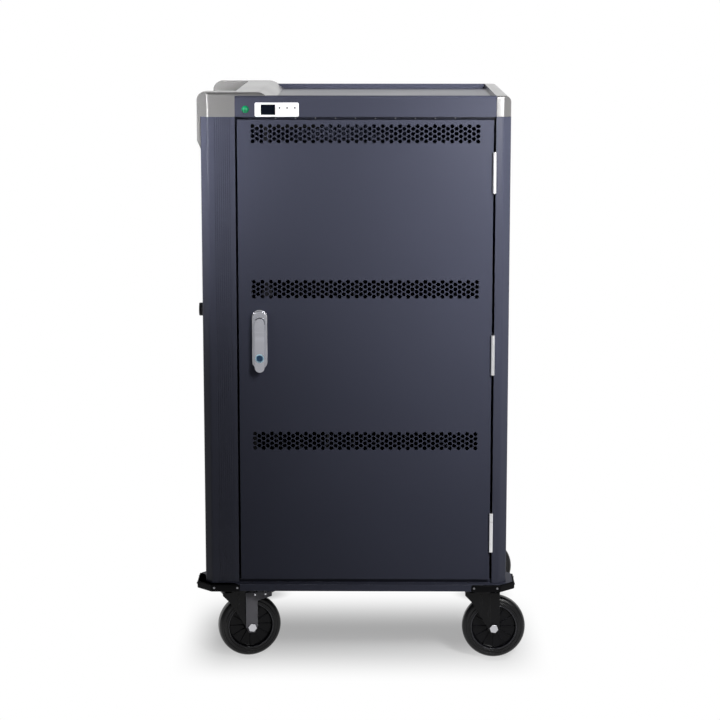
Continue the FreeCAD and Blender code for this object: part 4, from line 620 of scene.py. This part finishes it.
# Studio: a white floor with a painted shadow near the object, its real shadow kept in it, fading to plain
# white; soft lights
def seen_directly(tree):
    """1 for what the camera sees, straight, in a reflection or through glass."""
    path = add_node(tree, "ShaderNodeLightPath").outputs
    gloss = math_of(tree, "MAXIMUM", path["Is Camera Ray"], path["Is Glossy Ray"])
    return math_of(tree, "MAXIMUM", gloss, path["Is Transmission Ray"])


def full_to_camera(tree, strength):
    """Full strength for what the camera sees straight, this strength for the rest."""
    path = add_node(tree, "ShaderNodeLightPath").outputs
    return math_of(tree, "MAXIMUM", path["Is Camera Ray"], strength)


WHITE = (1, 1, 1, 1)
FLOOR_RADIUS = 40
# The lit floor is grey, so the masked area reads as painted shade even where the lamps reach it
FLOOR_SHADE_GREY = (0.62, 0.62, 0.62, 1.0)
FLOOR_FRONT = 0.5
FLOOR_FRONT_REACH = (-1.6, -0.4)
SHADOW_MIDDLE = 0.075
SHADOW_REACH = {"X": (0.28, 0.40), "Y": (0.03, 0.34)}
SHADOW_WHITE = 0.38
# Round each wheel the grey lit floor shows as a painted shadow patch, the real contact shadow in it
WHEEL_PAINTED_SHADOW = 0.7
WHEEL_PAINTED_SHADOW_REACH = (0.02, 0.08)


def shadow_share(tree, place):
    """How much of the grey lit floor, real shadow in it, shows as a painted shadow: all under the cabinet,
    most close to the wheels, none far away.
    """
    centred = add_node(tree, "ShaderNodeMapping", {"Vector": place, "Location": (0.0, SHADOW_MIDDLE, 0.0)})
    reach = add_node(tree, "ShaderNodeVectorMath", {0: centred.outputs[0]}, operation="ABSOLUTE")
    apart = add_node(tree, "ShaderNodeSeparateXYZ", {0: reach.outputs[0]}).outputs
    kept = [ramp(tree, apart[axis], near, far, low=1.0, high=0.0, smooth=True)
            for axis, (near, far) in SHADOW_REACH.items()]
    shadow = math_of(tree, "MULTIPLY", *kept)
    for corner in CORNERS:
        x, y, _ = joint_of["wheel_" + corner]["pos_m"]
        away = add_node(tree, "ShaderNodeVectorMath", {0: place, 1: (x, y, 0.0)}, operation="DISTANCE")
        painted_shadow_patch = ramp(tree, away.outputs["Value"], *WHEEL_PAINTED_SHADOW_REACH, low=WHEEL_PAINTED_SHADOW, high=0.0, smooth=True)
        shadow = math_of(tree, "MAXIMUM", shadow, painted_shadow_patch)
    return shadow


def floor_white():
    """Plain white to the camera, grey as painted shadow (real shadow in it) where the mask keeps it, dimmer
    in front for reflections.
    """
    material = bpy.data.materials.new("studio_white")
    material.use_nodes = True
    tree = material.node_tree
    tree.nodes.remove(tree.nodes["Principled BSDF"])
    place = object_place(tree)
    lit = add_node(tree, "ShaderNodeBsdfDiffuse", {"Color": FLOOR_SHADE_GREY})
    depth = add_node(tree, "ShaderNodeSeparateXYZ", {0: place}).outputs["Y"]
    dimmed = ramp(tree, depth, *FLOOR_FRONT_REACH, low=FLOOR_FRONT, smooth=True)
    white = add_node(tree, "ShaderNodeEmission", {"Color": WHITE, "Strength": full_to_camera(tree, dimmed)})
    fade = ramp(tree, shadow_share(tree, place), 0.0, 1.0, low=1.0, high=SHADOW_WHITE)
    share = math_of(tree, "MULTIPLY", fade, seen_directly(tree))
    surface = add_node(tree, "ShaderNodeMixShader", {0: share, 1: lit.outputs[0], 2: white.outputs[0]})
    tree.links.new(surface.outputs[0], tree.nodes["Material Output"].inputs["Surface"])
    return material


def make_floor():
    mesh = bpy.data.meshes.new("studio_floor")
    shape = bmesh.new()
    bmesh.ops.create_circle(shape, cap_ends=True, segments=96, radius=FLOOR_RADIUS)
    shape.to_mesh(mesh)
    shape.free()
    mesh.materials.append(floor_white())
    put_in_scene("studio_floor", mesh)


AMBIENT = 0.02
ROOM_FRONT = 0.5
ROOM_SIDE = 0.07
ROOM_SIDE_REACH = (0.2, 0.9)
WALL_REACH = (0.0, 0.5)
CEILING = 0.12
CEILING_REACH = (0.42, 0.62)


def make_world():
    """White to the camera; reflections see a white wall behind, a dim room in front, a dark ceiling."""
    world = bpy.data.worlds.new("studio")
    bpy.context.scene.world = world
    world.use_nodes = True
    tree = world.node_tree
    tree.nodes.clear()
    toward = add_node(tree, "ShaderNodeTexCoord").outputs["Generated"]
    apart = add_node(tree, "ShaderNodeSeparateXYZ", {0: toward}).outputs
    aside = math_of(tree, "ABSOLUTE", apart["X"])
    room = ramp(tree, aside, *ROOM_SIDE_REACH, low=ROOM_FRONT, high=ROOM_SIDE)
    wall = ramp(tree, apart["Y"], *WALL_REACH, low=room, smooth=True)
    ceiling = ramp(tree, apart["Z"], *CEILING_REACH, low=1.0, high=CEILING, smooth=True)
    graded = math_of(tree, "MULTIPLY", wall, ceiling)
    ambient = add_node(tree, "ShaderNodeBackground", {"Color": WHITE, "Strength": AMBIENT})
    backdrop = add_node(tree, "ShaderNodeBackground", {
        "Color": WHITE, "Strength": full_to_camera(tree, graded)})
    surface = add_node(tree, "ShaderNodeMixShader", {
        0: seen_directly(tree), 1: ambient.outputs[0], 2: backdrop.outputs[0]})
    output = add_node(tree, "ShaderNodeOutputWorld")
    tree.links.new(surface.outputs[0], output.inputs["Surface"])


def softbox(name, place, target, size, watts, spread=180, mirrored=True):
    """A soft lamp that the camera doesn't see, aimed at a point; a small spread keeps its light together."""
    light = bpy.data.lights.new(name, "AREA")
    light.shape = "RECTANGLE"
    light.size, light.size_y = size
    light.energy = watts
    light.spread = math.radians(spread)
    lamp = put_in_scene(name, light)
    lamp.visible_camera = False
    lamp.visible_glossy = mirrored
    aim = (Vector(target) - Vector(place)).to_track_quat("-Z", "Y")
    lamp.matrix_world = Matrix.Translation(place) @ aim.to_matrix().to_4x4()


make_floor()
make_world()
softbox("key_top", (0.85, -1.75, 2.1), (0.62, -0.26, 1.3), size=(0.4, 0.9), watts=9, spread=66)
softbox("key_right", (0.91, -1.61, 1.7), (0.85, -0.26, 1.15), size=(0.4, 0.9), watts=10, spread=76)
softbox("key_front", (0.91, -1.61, 1.5), (0.55, -0.26, 1.4), size=(0.5, 1.0), watts=4, spread=70)
softbox("fill_left", (-0.8, -0.75, 1.25), (-0.52, -0.26, 1.22), size=(0.2, 0.66), watts=3, spread=54,
        mirrored=False)
softbox("edge_left", (-0.8, -0.75, 1.21), (-0.4, -0.26, 1.15), size=(0.06, 0.6), watts=0.8, spread=60)
softbox("glint_right", (0.56, -4.5, 0.88), (0.3, -0.26, 1.14), size=(0.16, 0.26), watts=0.9, spread=60)
softbox("overhead", (0.0, 0.5, 2.6), (0, 0.2, 1.1), size=(1.2, 0.8), watts=0.8, spread=70)
softbox("rear_fill", (-0.9, 2.4, 3.0), (0, 0.26, 0.5), size=(1.2, 1.2), watts=26, mirrored=False)

# Camera: the photograph's view, from a little right of centre and above the top
SENSOR_WIDTH = 36


def make_camera(place, down, left, focal):
    """A level camera at a place, turned down and left by these degrees."""
    camera = bpy.data.cameras.new("photo_view")
    camera.sensor_fit = "HORIZONTAL"
    camera.sensor_width = SENSOR_WIDTH
    camera.lens = focal
    viewer = put_in_scene("photo_view", camera)
    viewer.location = place
    viewer.rotation_euler = (math.radians(90 - down), 0, math.radians(left))
    bpy.context.scene.camera = viewer


make_camera((0.0409, -4.6191, 1.3944), down=9.906, left=0.563, focal=109)
bpy.context.scene.view_settings.view_transform = "Standard"
